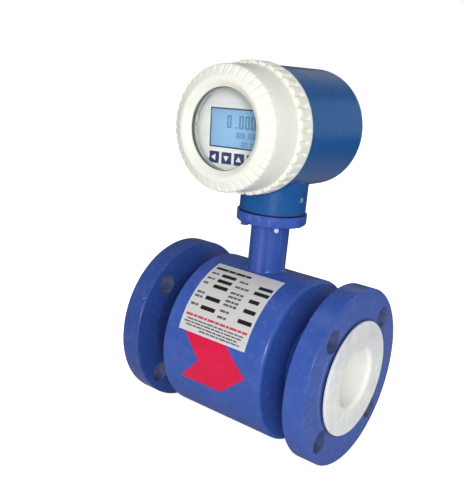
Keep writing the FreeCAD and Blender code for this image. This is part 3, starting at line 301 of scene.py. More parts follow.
def flange_wear_and_painted_light(tree, tone, rough):
    """Thin, stained enamel in the bolt holes, grime with painted shade in the corner round the liner, chips
    at the rim, some of them pale painted glints.
    """
    offset = BOLT_CIRCLE_RADIUS * math.sin(math.radians(45))
    from_hole = distance_from(tree, (0, 1, 1), (0, offset, offset))
    hole = remap(tree, from_hole, BOLT_HOLE_RADIUS + 0.035 * MM, BOLT_HOLE_RADIUS + 0.225 * MM, 1, 0)
    stain = remap(tree, noise(tree, 0.006, 4.0, 0.65, 5.0), 0.42, 0.62, 0, 0.75)
    tone = blend_colour(tree, hole, tone, blend_colour(tree, stain, linear("#41578F"), linear("#77717C")))
    out = distance_from(tree, (0, 1, 1))
    ragged = remap(tree, noise(tree, 0.004, 4.0, 0.7, 2.4), 0.3, 0.7, 0.25, 1)
    # painted shade with grime: a dark ring in the corner round the liner, standing for the shade under the
    # liner's flare
    corner = remap(tree, out, LINER_RADIUS + 0.4 * MM, LINER_RADIUS + 3.0 * MM, 0.8, 0)
    tone = blend_colour(tree, times(tree, corner, ragged), tone, linear("#253565"))
    rim = remap(tree, out, FLANGE_RADIUS - 2.2 * MM, FLANGE_RADIUS - 0.3 * MM, 0, 1)
    scuffs = remap(tree, noise(tree, 0.0035, 4.0, 0.7, 8.2), 0.58, 0.66, 0, 0.55)
    tone = blend_colour(tree, times(tree, rim, scuffs), tone, linear("#4A5478"))
    # partly painted glints: pale specks along the rim stand for highlights on its edge as well as for chips
    chips_and_glints = remap(tree, noise(tree, 0.004, 2.0, 0.5, 6.3), 0.75, 0.78, 0, 0.5)
    tone = blend_colour(tree, times(tree, rim, chips_and_glints), tone, linear("#A9B8E0"))
    dull = remap(tree, hole, 0, 1, 0, 0.5)
    rough = add(tree, "ShaderNodeMath", {"operation": "MAXIMUM"}, {0: rough, 1: dull})
    return tone, rough


def screw_painted_highlight(tree, tone, rough):
    """A painted highlight: the enamel on the outer side of each screw head gives way to a round spot of
    bright zinc colour.
    """
    side = SCREW_REACH * math.sin(math.radians(45))
    away = distance_from(tree, (1, 1, 1), (side, side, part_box("neck_screws")[0].z + 2 * MM))
    # painted highlight: the bright spot stands for light caught on the screw head
    bare = remap(tree, away, 1.5 * MM, 2.3 * MM, 0.95, 0)
    return blend_colour(tree, bare, tone, linear("#D5D9EE")), rough


def moulded_polymer(name, base, roughness, grain):
    """Moulded or skived plastic: even colour with faint clouds and a fine grain."""
    material, tree, output = new_material(name)
    clouds = noise(tree, 0.02, 4.0, 0.6)
    tone = mottled(tree, clouds, base, 0.93, 1.04, 0.35)
    rough = remap(tree, noise(tree, 0.006, 2.0, 0.5, 2.2), 0.3, 0.7, roughness - 0.04, roughness + 0.06)
    bump = height_map(tree, noise(tree, grain, 2.0, 0.5, 0.4), 0.03 * MM, 0.4)
    finish(tree, output, {"IOR": 1.46, "Metallic": 0.0},
           {"Base Color": tone, "Roughness": rough, "Normal": bump})
    return material


def sintered_liner(name):
    """Sintered fluoropolymer: waxy white that light enters a little, with painted light that makes the bore
    whiter and painted shade that makes the face darker and bluer towards its top.
    """
    base = tuple(colours().liner)
    material, tree, output = new_material(name)
    clouds = remap(tree, noise(tree, 0.012, 4.0, 0.65), 0.35, 0.65, 0, 1)
    face = blend_colour(tree, clouds, shade(base, 0.92), shade(base, 1.05))
    high = add(tree, "ShaderNodeSeparateXYZ", links={0: object_coordinates(tree)})
    # painted shade: the face turns darker and bluer towards its top, broken into patches
    shade_patches = remap(tree, noise(tree, 0.02, 3.0, 0.6, 4.4), 0.35, 0.65, 0.35, 1)
    upper = times(tree, remap(tree, (high, "Z"), 0.0, LINER_RADIUS, 0, 0.55), shade_patches)
    face = blend_colour(tree, upper, face, linear("#AFB3C2"))
    # painted light: the liner is made whiter towards the bore, standing for light that reaches into it
    bore = remap(tree, distance_from(tree, (0, 1, 1)), BORE_RADIUS + 0.2 * MM, BORE_RADIUS + 3.5 * MM, 1, 0)
    tone = blend_colour(tree, bore, face, linear("#FDFCF6"))
    rough = remap(tree, noise(tree, 0.006, 2.0, 0.5, 2.2), 0.3, 0.7, 0.36, 0.48)
    bump = height_map(tree, noise(tree, 0.0012, 2.0, 0.5, 0.4), 0.03 * MM, 0.4)
    finish(tree, output, {"IOR": 1.38, "Metallic": 0.0, "Subsurface Weight": 0.4,
                          "Subsurface Radius": (0.006, 0.0055, 0.005), "Subsurface Scale": 1.0},
           {"Base Color": tone, "Roughness": rough, "Normal": bump})
    return material


def turned_metal(name, base, roughness, axis, pitch, metallic=1.0):
    """Machined metal: fine turning marks along one axis and slightly uneven polish."""
    material, tree, output = new_material(name)
    stretch = {0: (1 / pitch, 30, 30), 1: (30, 1 / pitch, 30), 2: (30, 30, 1 / pitch)}[axis]
    lines = add(tree, "ShaderNodeMapping", {"Scale": stretch}, {"Vector": object_coordinates(tree)})
    marks = add(tree, "ShaderNodeTexNoise", {"Scale": 1.0, "Detail": 2.0}, {"Vector": lines})
    tone = mottled(tree, marks, base, 0.85, 1.08)
    rough = remap(tree, noise(tree, 0.004, 3.0, 0.6, 1.1), 0.3, 0.7, roughness - 0.06, roughness + 0.08)
    finish(tree, output, {"Metallic": metallic},
           {"Base Color": tone, "Roughness": rough, "Normal": height_map(tree, marks, 0.02 * MM, 0.3)})
    return material


def clear_glass(name):
    """Toughened float glass: clear, faintly green, with a polished surface and a trace of dust."""
    material, tree, output = new_material(name)
    film = remap(tree, noise(tree, 0.01, 3.0, 0.6), 0.4, 0.8, 0.0, 0.05)
    shader = finish(tree, output,
                    {"Base Color": rgba(linear("#FCFEFD")), "IOR": 1.5, "Transmission Weight": 1.0,
                     "Metallic": 0.0},
                    {"Roughness": film})
    # light passes straight through to what lies behind the pane
    through = add(tree, "ShaderNodeBsdfTransparent", {"Color": rgba(linear("#FAFDFB"))})
    either = add(tree, "ShaderNodeMixShader", links={0: (add(tree, "ShaderNodeLightPath"), "Is Shadow Ray"),
                                                     1: shader, 2: through})
    tree.links.new(either.outputs[0], output.inputs["Surface"])
    return material


def backlit_display(name):
    """Liquid crystal glass over a pale blue backlight, a little brighter towards its middle."""
    material, tree, output = new_material(name)
    base = tuple(colours().display)
    centre = (PANEL_LOW + PANEL_HIGH) / 2
    reach = 30 * MM
    place = add(tree, "ShaderNodeMapping",
                {"Location": tuple(-c / reach for c in centre), "Scale": (1 / reach,) * 3},
                {"Vector": object_coordinates(tree)})
    glow = add(tree, "ShaderNodeTexGradient", {"gradient_type": "SPHERICAL"}, {"Vector": place})
    tone = mottled(tree, glow, base, 0.9, 1.08, 0, 0.9)
    speckle = remap(tree, noise(tree, 0.0008, 1.0), 0.3, 0.7, 0.12, 0.2)
    finish(tree, output, {"IOR": 1.5, "Metallic": 0.0, "Emission Strength": 0.1},
           {"Base Color": tone, "Emission Color": tone, "Roughness": speckle})
    return material


def printed(name, base, roughness):
    """Screen-printed ink: flat colour that is slightly uneven, as ink on film is."""
    material, tree, output = new_material(name)
    tone = mottled(tree, noise(tree, 0.0015, 3.0, 0.6), base, 0.92, 1.1)
    rough = remap(tree, noise(tree, 0.004, 2.0), 0.3, 0.7, roughness - 0.05, roughness + 0.05)
    finish(tree, output, {"IOR": 1.5, "Metallic": 0.0}, {"Base Color": tone, "Roughness": rough})
    return material


def label_film(name, base):
    """Silver polyester film under a clear overlay: pale satin grey with fine streaks along the pipe."""
    material, tree, output = new_material(name)
    streaks = noise(tree, 0.0006, 3.0, 0.5, 0.6, (60, 1, 1))
    tone = mottled(tree, streaks, base, 0.95, 1.04)
    rough = remap(tree, noise(tree, 0.02, 3.0), 0.3, 0.7, 0.36, 0.48)
    finish(tree, output, {"IOR": 1.5, "Metallic": 0.08}, {"Base Color": tone, "Roughness": rough})
    return material


def wound_wire(name):
    """Enamelled copper wire wound in layers and varnished: fine parallel turns in brown."""
    material, tree, output = new_material(name)
    bands = add(tree, "ShaderNodeTexWave", {"wave_type": "BANDS", "bands_direction": "Z",
                                            "Scale": 1 / 0.0022,
                                            "Distortion": 0.3},
                {"Vector": object_coordinates(tree)})
    tone = blend_colour(tree, bands, linear("#5A2C16"), linear("#A85B30"))
    rough = remap(tree, noise(tree, 0.004, 2.0), 0.3, 0.7, 0.25, 0.4)
    finish(tree, output, {"Metallic": 0.4},
           {"Base Color": tone, "Roughness": rough, "Normal": height_map(tree, bands, 0.2 * MM, 0.6)})
    return material


def circuit_board(name):
    """Glass-fibre laminate under green solder mask, with paler tracks."""
    material, tree, output = new_material(name)
    cells = add(tree, "ShaderNodeTexBrick", {"Scale": 260.0, "Mortar Size": 0.05, "Color1": (0, 0, 0, 1),
                                             "Color2": (0.1, 0.1, 0.1, 1), "Mortar": (1, 1, 1, 1)},
                {"Vector": add(tree, "ShaderNodeMapping", {"Rotation": (math.radians(90), 0, 0)},
                               {"Vector": object_coordinates(tree)})})
    tone = blend_colour(tree, cells, linear("#17502F"), linear("#2C7A4A"))
    rough = remap(tree, noise(tree, 0.004, 2.0), 0.3, 0.7, 0.25, 0.4)
    finish(tree, output, {"IOR": 1.5, "Metallic": 0.0}, {"Base Color": tone, "Roughness": rough})
    return material


def assign(material, *names):
    """Gives the material to each named object."""
    for name in names:
        item = bpy.data.objects[name]
        item.data.materials.clear()
        item.data.materials.append(material)


# ---------------------------------------------------------------- mesh helpers


def finished(name, mesh, body, material, smooth=True):
    """An object made of the bmesh, riding on a body of the frame."""
    data = bpy.data.meshes.new(name)
    mesh.to_mesh(data)
    mesh.free()
    for polygon in data.polygons:
        polygon.use_smooth = smooth
    item = bpy.data.objects.new(name, data)
    bpy.context.scene.collection.objects.link(item)
    item.data.materials.append(bpy.data.materials[material])
    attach(item, body)
    return item


def sharpen(item, degrees):
    """Keeps edges steeper than the angle sharp on a smooth-shaded object."""
    item.data.set_sharp_from_angle(angle=math.radians(degrees))


def wire_profile(mesh, corners, rounds):
    """A closed chain of edges through the corners (axial, radial), each corner rounded by its own radius."""
    points = [mesh.verts.new((0, axial, radial)) for axial, radial in corners]
    for first, second in zip(points, points[1:] + points[:1]):
        mesh.edges.new((first, second))
    for point, radius in zip(points, rounds):
        if radius:
            bmesh.ops.bevel(mesh, geom=[point], offset=radius, offset_type="OFFSET", segments=4, profile=0.5,
                            affect="VERTICES", material=-1)


def turn_profile(mesh, centre, axis, steps):
    """Spins every edge of the mesh a full circle about the axis and closes it."""
    bmesh.ops.spin(mesh, geom=mesh.verts[:] + mesh.edges[:], cent=centre, axis=axis, angle=math.tau,
                   steps=steps, use_merge=True, use_duplicate=False)
    bmesh.ops.remove_doubles(mesh, verts=mesh.verts[:], dist=1e-6)
    bmesh.ops.recalc_face_normals(mesh, faces=mesh.faces[:])


def smooth_step(low, high, value):
    """0 below low, 1 above high, and a smooth rise between them."""
    part = min(1.0, max(0.0, (value - low) / (high - low)))
    return part * part * (3 - 2 * part)


def comb(angle, count, half_width):
    """1 in the middle of each of count grooves round a circle, falling softly to 0 at its edge."""
    step = math.tau / count
    away = abs((angle / step) % 1.0 - 0.5) * step
    return 0.5 + 0.5 * math.cos(math.pi * min(away / half_width, 1.0))


# ---------------------------------------------------------------- the window cover


class FLOWMETER_OT_cover(bpy.types.Operator):
    """Makes the screw-on window cover with its serrated front ring and fluted band"""
    bl_idname = "flowmeter.cover"
    bl_label = "Window cover"

    # the turned outline, as (place along the axis, radius, rounding) in millimetres
    outline = [
        (-79.3, 31.2, 0.5), (-84.3, 37.0, 2.6), (-78.5, 47.85, 1.3), (-50.5, 49.3, 0.5),
        (-50.5, 52.3, 1.6), (-34.9, 52.3, 0.7), (-34.9, 47.3, 0.3), (-37.7, 47.3, 0.2),
        (-37.7, 49.4, 0), (-40.3, 49.4, 0), (-40.3, 47.3, 0.2), (-50.5, 47.3, 0),
        (-52.5, 44.5, 0.5), (-76.0, 44.5, 0), (-76.0, 39.6, 0), (-67.0, 39.6, 0.3),
        (-67.0, 36.2, 0.3), (-72.0, 36.2, 0), (-72.0, 34.9, 0), (-77.6, 34.9, 0),
        (-77.6, 31.2, 0.3),
    ]
    bevel_edge, wall = 47.85 * MM, 49.36 * MM
    flute_half_width, serration_half_width = 2.6 * MM, 1.6 * MM

    def execute(self, context):
        size = sizes()
        corners = self.outline
        mesh = bmesh.new()
        wire_profile(mesh, [(y * MM, r * MM) for y, r, _ in corners], [c * MM for _, _, c in corners])
        outside = [
            edge for edge in mesh.edges
            if edge.calc_length() > 2 * MM and all(v.co.z > 30 * MM for v in edge.verts)
            and (max(v.co.z for v in edge.verts) > 47.5 * MM or max(v.co.y for v in edge.verts) < -78.3 * MM)
        ]
        bmesh.ops.subdivide_edges(mesh, edges=outside, cuts=9)
        for vert in mesh.verts:
            vert.co.z += HEAD_HEIGHT
        turn_profile(mesh, (0, 0, HEAD_HEIGHT), (0, 1, 0), size.flute_count * size.serration_count // 2)
        self.cut(mesh, size)
        bmesh.ops.recalc_face_normals(mesh, faces=mesh.faces[:])
        cover = finished("cover_body", mesh, "cover", "polyester powder coat, off-white")
        sharpen(cover, 50)
        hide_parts("front_cover")
        return {"FINISHED"}

    def cut(self, mesh, size):
        """Presses the serrations and the flutes into the turned shape."""
        for vert in mesh.verts:
            across, up = vert.co.x, vert.co.z - HEAD_HEIGHT
            radius = math.hypot(across, up)
            angle = math.atan2(across, up)
            y = vert.co.y
            inward = Vector((across, 0, up)) / -radius
            if radius > 49.4 * MM and y < -37.5 * MM:
                # a flute opens through the front of the band and ends in a round before the rear rim
                along = 1 - smooth_step(-40.6 * MM, -38.2 * MM, y)
                groove = comb(angle, size.flute_count, self.flute_half_width / BAND_RADIUS)
                depth = min(size.flute_depth * along * groove, radius - self.wall)
                vert.co += inward * depth
            elif radius > 37.5 * MM and y < -72 * MM and radius < 48.5 * MM:
                # a serration deepens towards the outer edge and runs out on the side wall
                deep = smooth_step(37.5 * MM, 45.5 * MM, radius)
                deep *= 1 - smooth_step(-78.0 * MM, -75.5 * MM, y)
                groove = comb(angle, size.serration_count, self.serration_half_width / self.bevel_edge)
                bevel = (inward * 0.47 + Vector((0, 0.88, 0))).normalized()
                way = inward if y > -78.4 * MM else bevel
                vert.co += way * size.serration_depth * deep * groove


class FLOWMETER_OT_gasket(bpy.types.Operator):
    """Makes the rubber gasket of the window, whose lip shows as a dark line round the glass"""
    bl_idname = "flowmeter.gasket"
    bl_label = "Window gasket"

    def execute(self, context):
        glass = GLASS_FRONT / MM
        corners = [
            (glass, 34.4, 0), (glass - 0.55, 34.4, 0), (glass - 0.55, 31.15, 0), (glass - 1.1, 31.15, 0),
            (glass - 1.1, 30.85, 0.1), (glass, 30.75, 0),
        ]
        mesh = bmesh.new()
        wire_profile(mesh, [(y * MM, r * MM) for y, r, _ in corners], [c * MM for _, _, c in corners])
        bmesh.ops.translate(mesh, vec=(0, 0, HEAD_HEIGHT), verts=mesh.verts[:])
        turn_profile(mesh, (0, 0, HEAD_HEIGHT), (0, 1, 0), 180)
        gasket = finished("window_gasket_lip", mesh, "cover", "grey silicone rubber")
        sharpen(gasket, 40)
        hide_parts("window_gasket")
        return {"FINISHED"}


class FLOWMETER_OT_thread(bpy.types.Operator):
    """Makes the thread on the spigot, seen once the cover is unscrewed"""
    bl_idname = "flowmeter.thread"
    bl_label = "Spigot thread"

    def execute(self, context):
        pitch = sizes().thread_pitch
        turns = 4
        steps = 96
        mesh = bmesh.new()
        root, crest, start = 46.9 * MM, 47.24 * MM, -48.6 * MM
        points = [
            mesh.verts.new((0, start, HEAD_HEIGHT + root)),
            mesh.verts.new((0, start + pitch * 0.38, HEAD_HEIGHT + crest)),
            mesh.verts.new((0, start + pitch * 0.5, HEAD_HEIGHT + crest)),
            mesh.verts.new((0, start + pitch * 0.88, HEAD_HEIGHT + root)),
        ]
        edges = [mesh.edges.new(pair) for pair in zip(points, points[1:] + points[:1])]
        start_face = mesh.faces.new(points)
        bmesh.ops.delete(mesh, geom=[start_face], context="FACES_ONLY")
        bmesh.ops.spin(mesh, geom=points + edges, cent=(0, 0, HEAD_HEIGHT), axis=(0, 1, 0),
                       angle=math.tau * turns, dvec=(0, pitch / steps, 0), steps=steps * turns)
        ends = [edge for edge in mesh.edges if edge.is_boundary]
        bmesh.ops.holes_fill(mesh, edges=ends, sides=8)
        bmesh.ops.recalc_face_normals(mesh, faces=mesh.faces[:])
        thread = finished("spigot_thread", mesh, "meter", "bare cast aluminium")
        sharpen(thread, 30)
        return {"FINISHED"}


# ---------------------------------------------------------------- flat printing


def patch(mesh, left, bottom, width, height, depth=0.04 * MM):
    """A thin rounded-off tablet lying in the XZ plane, its back at y = 0."""
    made = bmesh.ops.create_cube(mesh, size=1.0)["verts"]
    bmesh.ops.scale(mesh, vec=(width, depth, height), verts=made)
    bmesh.ops.translate(mesh, vec=(left + width / 2, -depth / 2, bottom + height / 2), verts=made)
    return made


def shape(mesh, points, depth=0.04 * MM):
    """A thin tablet with the outline given by a few corners in the XZ plane, its back at y = 0."""
    face = mesh.faces.new([mesh.verts.new((x, 0, z)) for x, z in points])
    raised = bmesh.ops.extrude_face_region(mesh, geom=[face])["geom"]
    corners = [item for item in raised if isinstance(item, bmesh.types.BMVert)]
    bmesh.ops.translate(mesh, vec=(0, -depth, 0), verts=corners)
    bmesh.ops.recalc_face_normals(mesh, faces=mesh.faces[:])


# the seven bars of a digit, as (column, row, upright) on a grid one wide and two high
BARS = {
    "a": (0, 2, False), "b": (1, 1, True), "c": (1, 0, True), "d": (0, 0, False),
    "e": (0, 0, True), "f": (0, 1, True), "g": (0, 1, False),
}
DIGITS = {"0": "abcdef", "1": "bc", "2": "abged", "3": "abgcd", "5": "afgcd", "8": "abcdefg"}


def digits(mesh, text, right, bottom, height):
    """Seven-bar digits ending at right, with their bars as thin tablets."""
    half, width, line = height / 2, height * 0.42, height * 0.13
    gap = line * 0.1
    left = right
    for sign in reversed(text):
        if sign == ".":
            left -= height * 0.22
            patch(mesh, left, bottom, line, line)
            left -= height * 0.38
            continue
        left -= width
        for bar in DIGITS[sign]:
            column, row, upright = BARS[bar]
            if upright:
                patch(mesh, left + column * (width - line), bottom + row * half + gap, line, half - 2 * gap)
            else:
                patch(mesh, left + line + gap, bottom + row * (half - line / 2),
                      width - 2 * (line + gap), line)
        left -= width * 0.35


def laid_on(mesh, x, y, z):
    """Puts flat printing at a place on the display or a key, turned with them."""
    turn = Matrix.Rotation(-DISPLAY_TURN, 3, "Y")
    bmesh.ops.rotate(mesh, cent=(0, 0, 0), matrix=turn, verts=mesh.verts[:])
    bmesh.ops.translate(mesh, vec=(x, y, z), verts=mesh.verts[:])


class FLOWMETER_OT_display_print(bpy.types.Operator):
    """Makes the figures on the display and the dark line round its opening"""
    bl_idname = "flowmeter.display_print"
    bl_label = "Display figures and border"

    def execute(self, context):
        figures = bmesh.new()
        tall = sizes().digit_height
        digits(figures, "0.000", 19.5 * MM, 0.1 * MM, tall)
        digits(figures, "0000.000", 19.5 * MM, -6.8 * MM, 4.0 * MM)
        digits(figures, "000.00", 19.5 * MM, -13.3 * MM, 3.8 * MM)
        laid_on(figures, 0, PANEL_LOW.y, HEAD_HEIGHT)
        finished("display_figures", figures, "meter", "display segments", False)
        border = bmesh.new()
        wide, high, line = 23.6 * MM, 15.3 * MM, 1.1 * MM
        for left, bottom, width, height in (
            (-wide, high - line, 2 * wide, line), (-wide, -high, 2 * wide, line),
            (-wide, -high + line, line, 2 * (high - line)),
            (wide - line, -high + line, line, 2 * (high - line)),
        ):
            patch(border, left, bottom, width, height)
        laid_on(border, 0, FACIA_FRONT, HEAD_HEIGHT)
        finished("display_border", border, "meter", "navy screen print", False)
        return {"FINISHED"}


class FLOWMETER_OT_key_symbols(bpy.types.Operator):
    """Prints a symbol on each key: left, down, up and enter"""
    bl_idname = "flowmeter.key_symbols"
    bl_label = "Key symbols"

    def execute(self, context):
        symbols = {
            "key_left": [[(-2.6, 0), (1.7, -2.7), (1.7, 2.7)]],
            "key_down": [[(0, -2.6), (2.7, 1.7), (-2.7, 1.7)]],
            "key_up": [[(0, 2.6), (-2.7, -1.7), (2.7, -1.7)]],
            "key_enter": [
                [(-2.8, -0.8), (-0.6, -2.6), (-0.6, 1.0)],
                [(-0.7, -1.3), (2.5, -1.3), (2.5, -0.3), (-0.7, -0.3)],
                [(1.5, -0.3), (2.5, -0.3), (2.5, 2.4), (1.5, 2.4)],
            ],
        }
        for key, outlines in symbols.items():
            low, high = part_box(key)
            mesh = bmesh.new()
            for outline in outlines:
                shape(mesh, [(x * MM, z * MM) for x, z in outline])
            laid_on(mesh, (low.x + high.x) / 2, low.y, (low.z + high.z) / 2)
            finished(key + "_symbol", mesh, key, "white screen print", False)
        return {"FINISHED"}


# ---------------------------------------------------------------- film on the shell


def bend_round_shell(mesh, lift):
    """Wraps a flat piece round the shell: its Z runs up the shell from the front, its Y becomes height."""
    for vert in mesh.verts:
        angle = vert.co.z / SHELL_RADIUS
        radius = SHELL_RADIUS + lift - vert.co.y
        vert.co = Vector((vert.co.x, -radius * math.cos(angle), radius * math.sin(angle)))
    bmesh.ops.recalc_face_normals(mesh, faces=mesh.faces[:])


def slice_rows(mesh, low, high):
    """Cuts the piece into level rows so that it can bend."""
    count = max(1, math.ceil((high - low) / FILM_ROW))
    for row in range(1, count):
        level = low + (high - low) * row / count
        bmesh.ops.bisect_plane(mesh, geom=mesh.verts[:] + mesh.edges[:] + mesh.faces[:],
                               plane_co=(0, 0, level), plane_no=(0, 0, 1))


def arc_of(z):
    """The distance along the shell, up from its front, of a height z on it."""
    return SHELL_RADIUS * math.asin(z / SHELL_RADIUS)


class FLOWMETER_OT_label(bpy.types.Operator):
    """Makes the foil label on the shell with its plain printed fields"""
    bl_idname = "flowmeter.label"
    bl_label = "Label"

    def execute(self, context):
        low, high = arc_of(LABEL_LOW.z), LABEL_TOP_ANGLE * SHELL_RADIUS
        left, right = LABEL_LOW.x, LABEL_HIGH.x
        plate = bmesh.new()
        patch(plate, left, low, right - left, high - low, LABEL_THICKNESS)
        slice_rows(plate, low, high)
        bend_round_shell(plate, 0)
        item = finished("label_plate", plate, "meter", "silver polyester film")
        sharpen(item, 40)
        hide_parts("rating_label")
        self.fields(left, right, low, high)
        return {"FINISHED"}

    def fields(self, left, right, low, high):
        """A grey ground with dark value boxes, rows of word-long marks and a red row, with no lettering."""
        margin = sizes().label_margin
        width, height = right - left - 2 * margin, high - low - 2 * margin
        ground, dark, grey, red = bmesh.new(), bmesh.new(), bmesh.new(), bmesh.new()

        def bar(mesh, x, z, wide, tall, thick=0.03 * MM):
            """A field of colour; x and z are shares of the printed area, z for the middle of the field."""
            patch(mesh, left + margin + x * width, low + margin + (z - tall / 2) * height, wide * width,
                  tall * height, thick)

        def row(mesh, x, z, wide, tall, word):
            """Word-long marks side by side, long and short in turn."""
            place, turn = x, 0
            while place < x + wide - word / 3:
                long = min(word * (1.0, 0.55, 0.8, 0.4)[turn % 4], x + wide - place)
                bar(mesh, place, z, long, tall)
                place += long + 0.011
                turn += 1

        bar(ground, 0, 0.5, 1, 1, 0.01 * MM)
        row(dark, 0.02, 0.915, 0.6, 0.042, 0.19)
        # left column: box height, rows of captions above and below its middle
        for z, wide, captions in ((0.811, 0.13, (0,)), (0.716, 0.14, (0,)), (0.621, 0.09, (0.012,)),
                                  (0.4425, 0.12, (0.045, -0.012)), (0.3105, 0.15, (0.01,))):
            bar(dark, 0.19, z, 0.225, 0.052)
            for rise in captions:
                row(grey, 0.02, z + rise, wide, 0.03, 0.07)
        for z, start, long, wide, captions in (
            (0.797, 0.785, 0.205, 0.17, (0,)), (0.703, 0.775, 0.22, 0.22, (0,)),
            (0.5746, 0.785, 0.15, 0.2, (0.03, -0.028)), (0.4386, 0.79, 0.175, 0.2, (0.045, -0.008)),
            (0.3007, 0.78, 0.205, 0.16, (0.045, -0.035)),
        ):
            bar(dark, start, z, long, 0.052)
            for rise in captions:
                row(grey, 0.48, z + rise, wide, 0.03, 0.08)
        row(red, 0.02, 0.185, 0.96, 0.028, 0.11)
        for z, start, wide in (
            (0.135, 0.06, 0.88), (0.098, 0.03, 0.92), (0.061, 0.07, 0.84), (0.025, 0.3, 0.66),
        ):
            row(grey, start, z, wide, 0.018, 0.1)
        bend = (
            ("label_ground", ground, "silver polyester film, printed grey", 0.0),
            ("label_value_boxes", dark, "black label ink", 0.01),
            ("label_captions", grey, "grey label ink", 0.01),
            ("label_red_row", red, "red label ink", 0.01),
        )
        for name, mesh, ink, lift in bend:
            slice_rows(mesh, low, high)
            bend_round_shell(mesh, LABEL_THICKNESS + lift * MM)
            finished(name, mesh, "meter", ink, False)


class FLOWMETER_OT_arrow(bpy.types.Operator):
    """Makes the red film arrow that shows the flow direction"""
    bl_idname = "flowmeter.arrow"
    bl_label = "Flow arrow"

    def execute(self, context):
        box_low, box_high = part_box("flow_arrow")
        tail, tip = box_low.x, box_high.x
        half = arc_of(-box_low.z)
        top = arc_of(box_high.z) - 0.1 * MM
        notch, shoulder = -10.6 * MM, 12.8 * MM
        mesh = bmesh.new()
        shape(mesh, [(tip, 0), (shoulder, half), (tail, half), (notch, 0), (tail, -half), (shoulder, -half)],
              ARROW_THICKNESS)
        bmesh.ops.bisect_plane(mesh, geom=mesh.verts[:] + mesh.edges[:] + mesh.faces[:], plane_co=(0, 0, top),
                               plane_no=(0, 0, 1), clear_outer=True)
        bmesh.ops.holes_fill(mesh, edges=[e for e in mesh.edges if e.is_boundary], sides=0)
        slice_rows(mesh, -half, top)
        bmesh.ops.triangulate(mesh, faces=[f for f in mesh.faces if len(f.verts) > 4])
        bend_round_shell(mesh, 0)
        item = finished("arrow_film", mesh, "meter", "red vinyl film")
        sharpen(item, 40)
        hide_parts("flow_arrow")
        return {"FINISHED"}


# ---------------------------------------------------------------- welds


class FLOWMETER_OT_welds(bpy.types.Operator):
    """Makes the rippled weld beads between tube, flanges and end plates"""
    bl_idname = "flowmeter.welds"
    bl_label = "Weld beads"

    def execute(self, context):
        tube = TUBE_RADIUS
        flange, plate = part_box("outlet_flange")[0].x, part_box("outlet_end_plate")[1].x
        mesh = bmesh.new()
        for side in (-1, 1):
            for face, way in ((flange, -1), (plate, 1)):
                ring = [
                    mesh.verts.new((side * face, 0, tube)),
                    mesh.verts.new((side * face, 0, tube + 4 * MM)),
                    mesh.verts.new((side * (face + way * 1.9 * MM), 0, tube + 2.6 * MM)),
                    mesh.verts.new((side * (face + way * 4 * MM), 0, tube)),
                ]
                edges = [mesh.edges.new(pair) for pair in zip(ring, ring[1:] + ring[:1])]
                bmesh.ops.spin(mesh, geom=ring + edges, cent=(0, 0, 0), axis=(1, 0, 0), angle=math.tau,
                               steps=240, use_merge=True, use_duplicate=False)
        bmesh.ops.remove_doubles(mesh, verts=mesh.verts[:], dist=1e-6)
        for vert in mesh.verts:
            radius = math.hypot(vert.co.y, vert.co.z)
            if radius > tube + 2 * MM:
                ripple = math.sin(math.atan2(vert.co.y, vert.co.z) * 60) * 0.16 * MM
                vert.co.y *= 1 + ripple / radius
                vert.co.z *= 1 + ripple / radius
        bmesh.ops.recalc_face_normals(mesh, faces=mesh.faces[:])
        item = finished("weld_beads", mesh, "meter", "alkyd enamel, violet-blue")
        sharpen(item, 60)
        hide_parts("tube_welds")
        return {"FINISHED"}


# ---------------------------------------------------------------- finishes


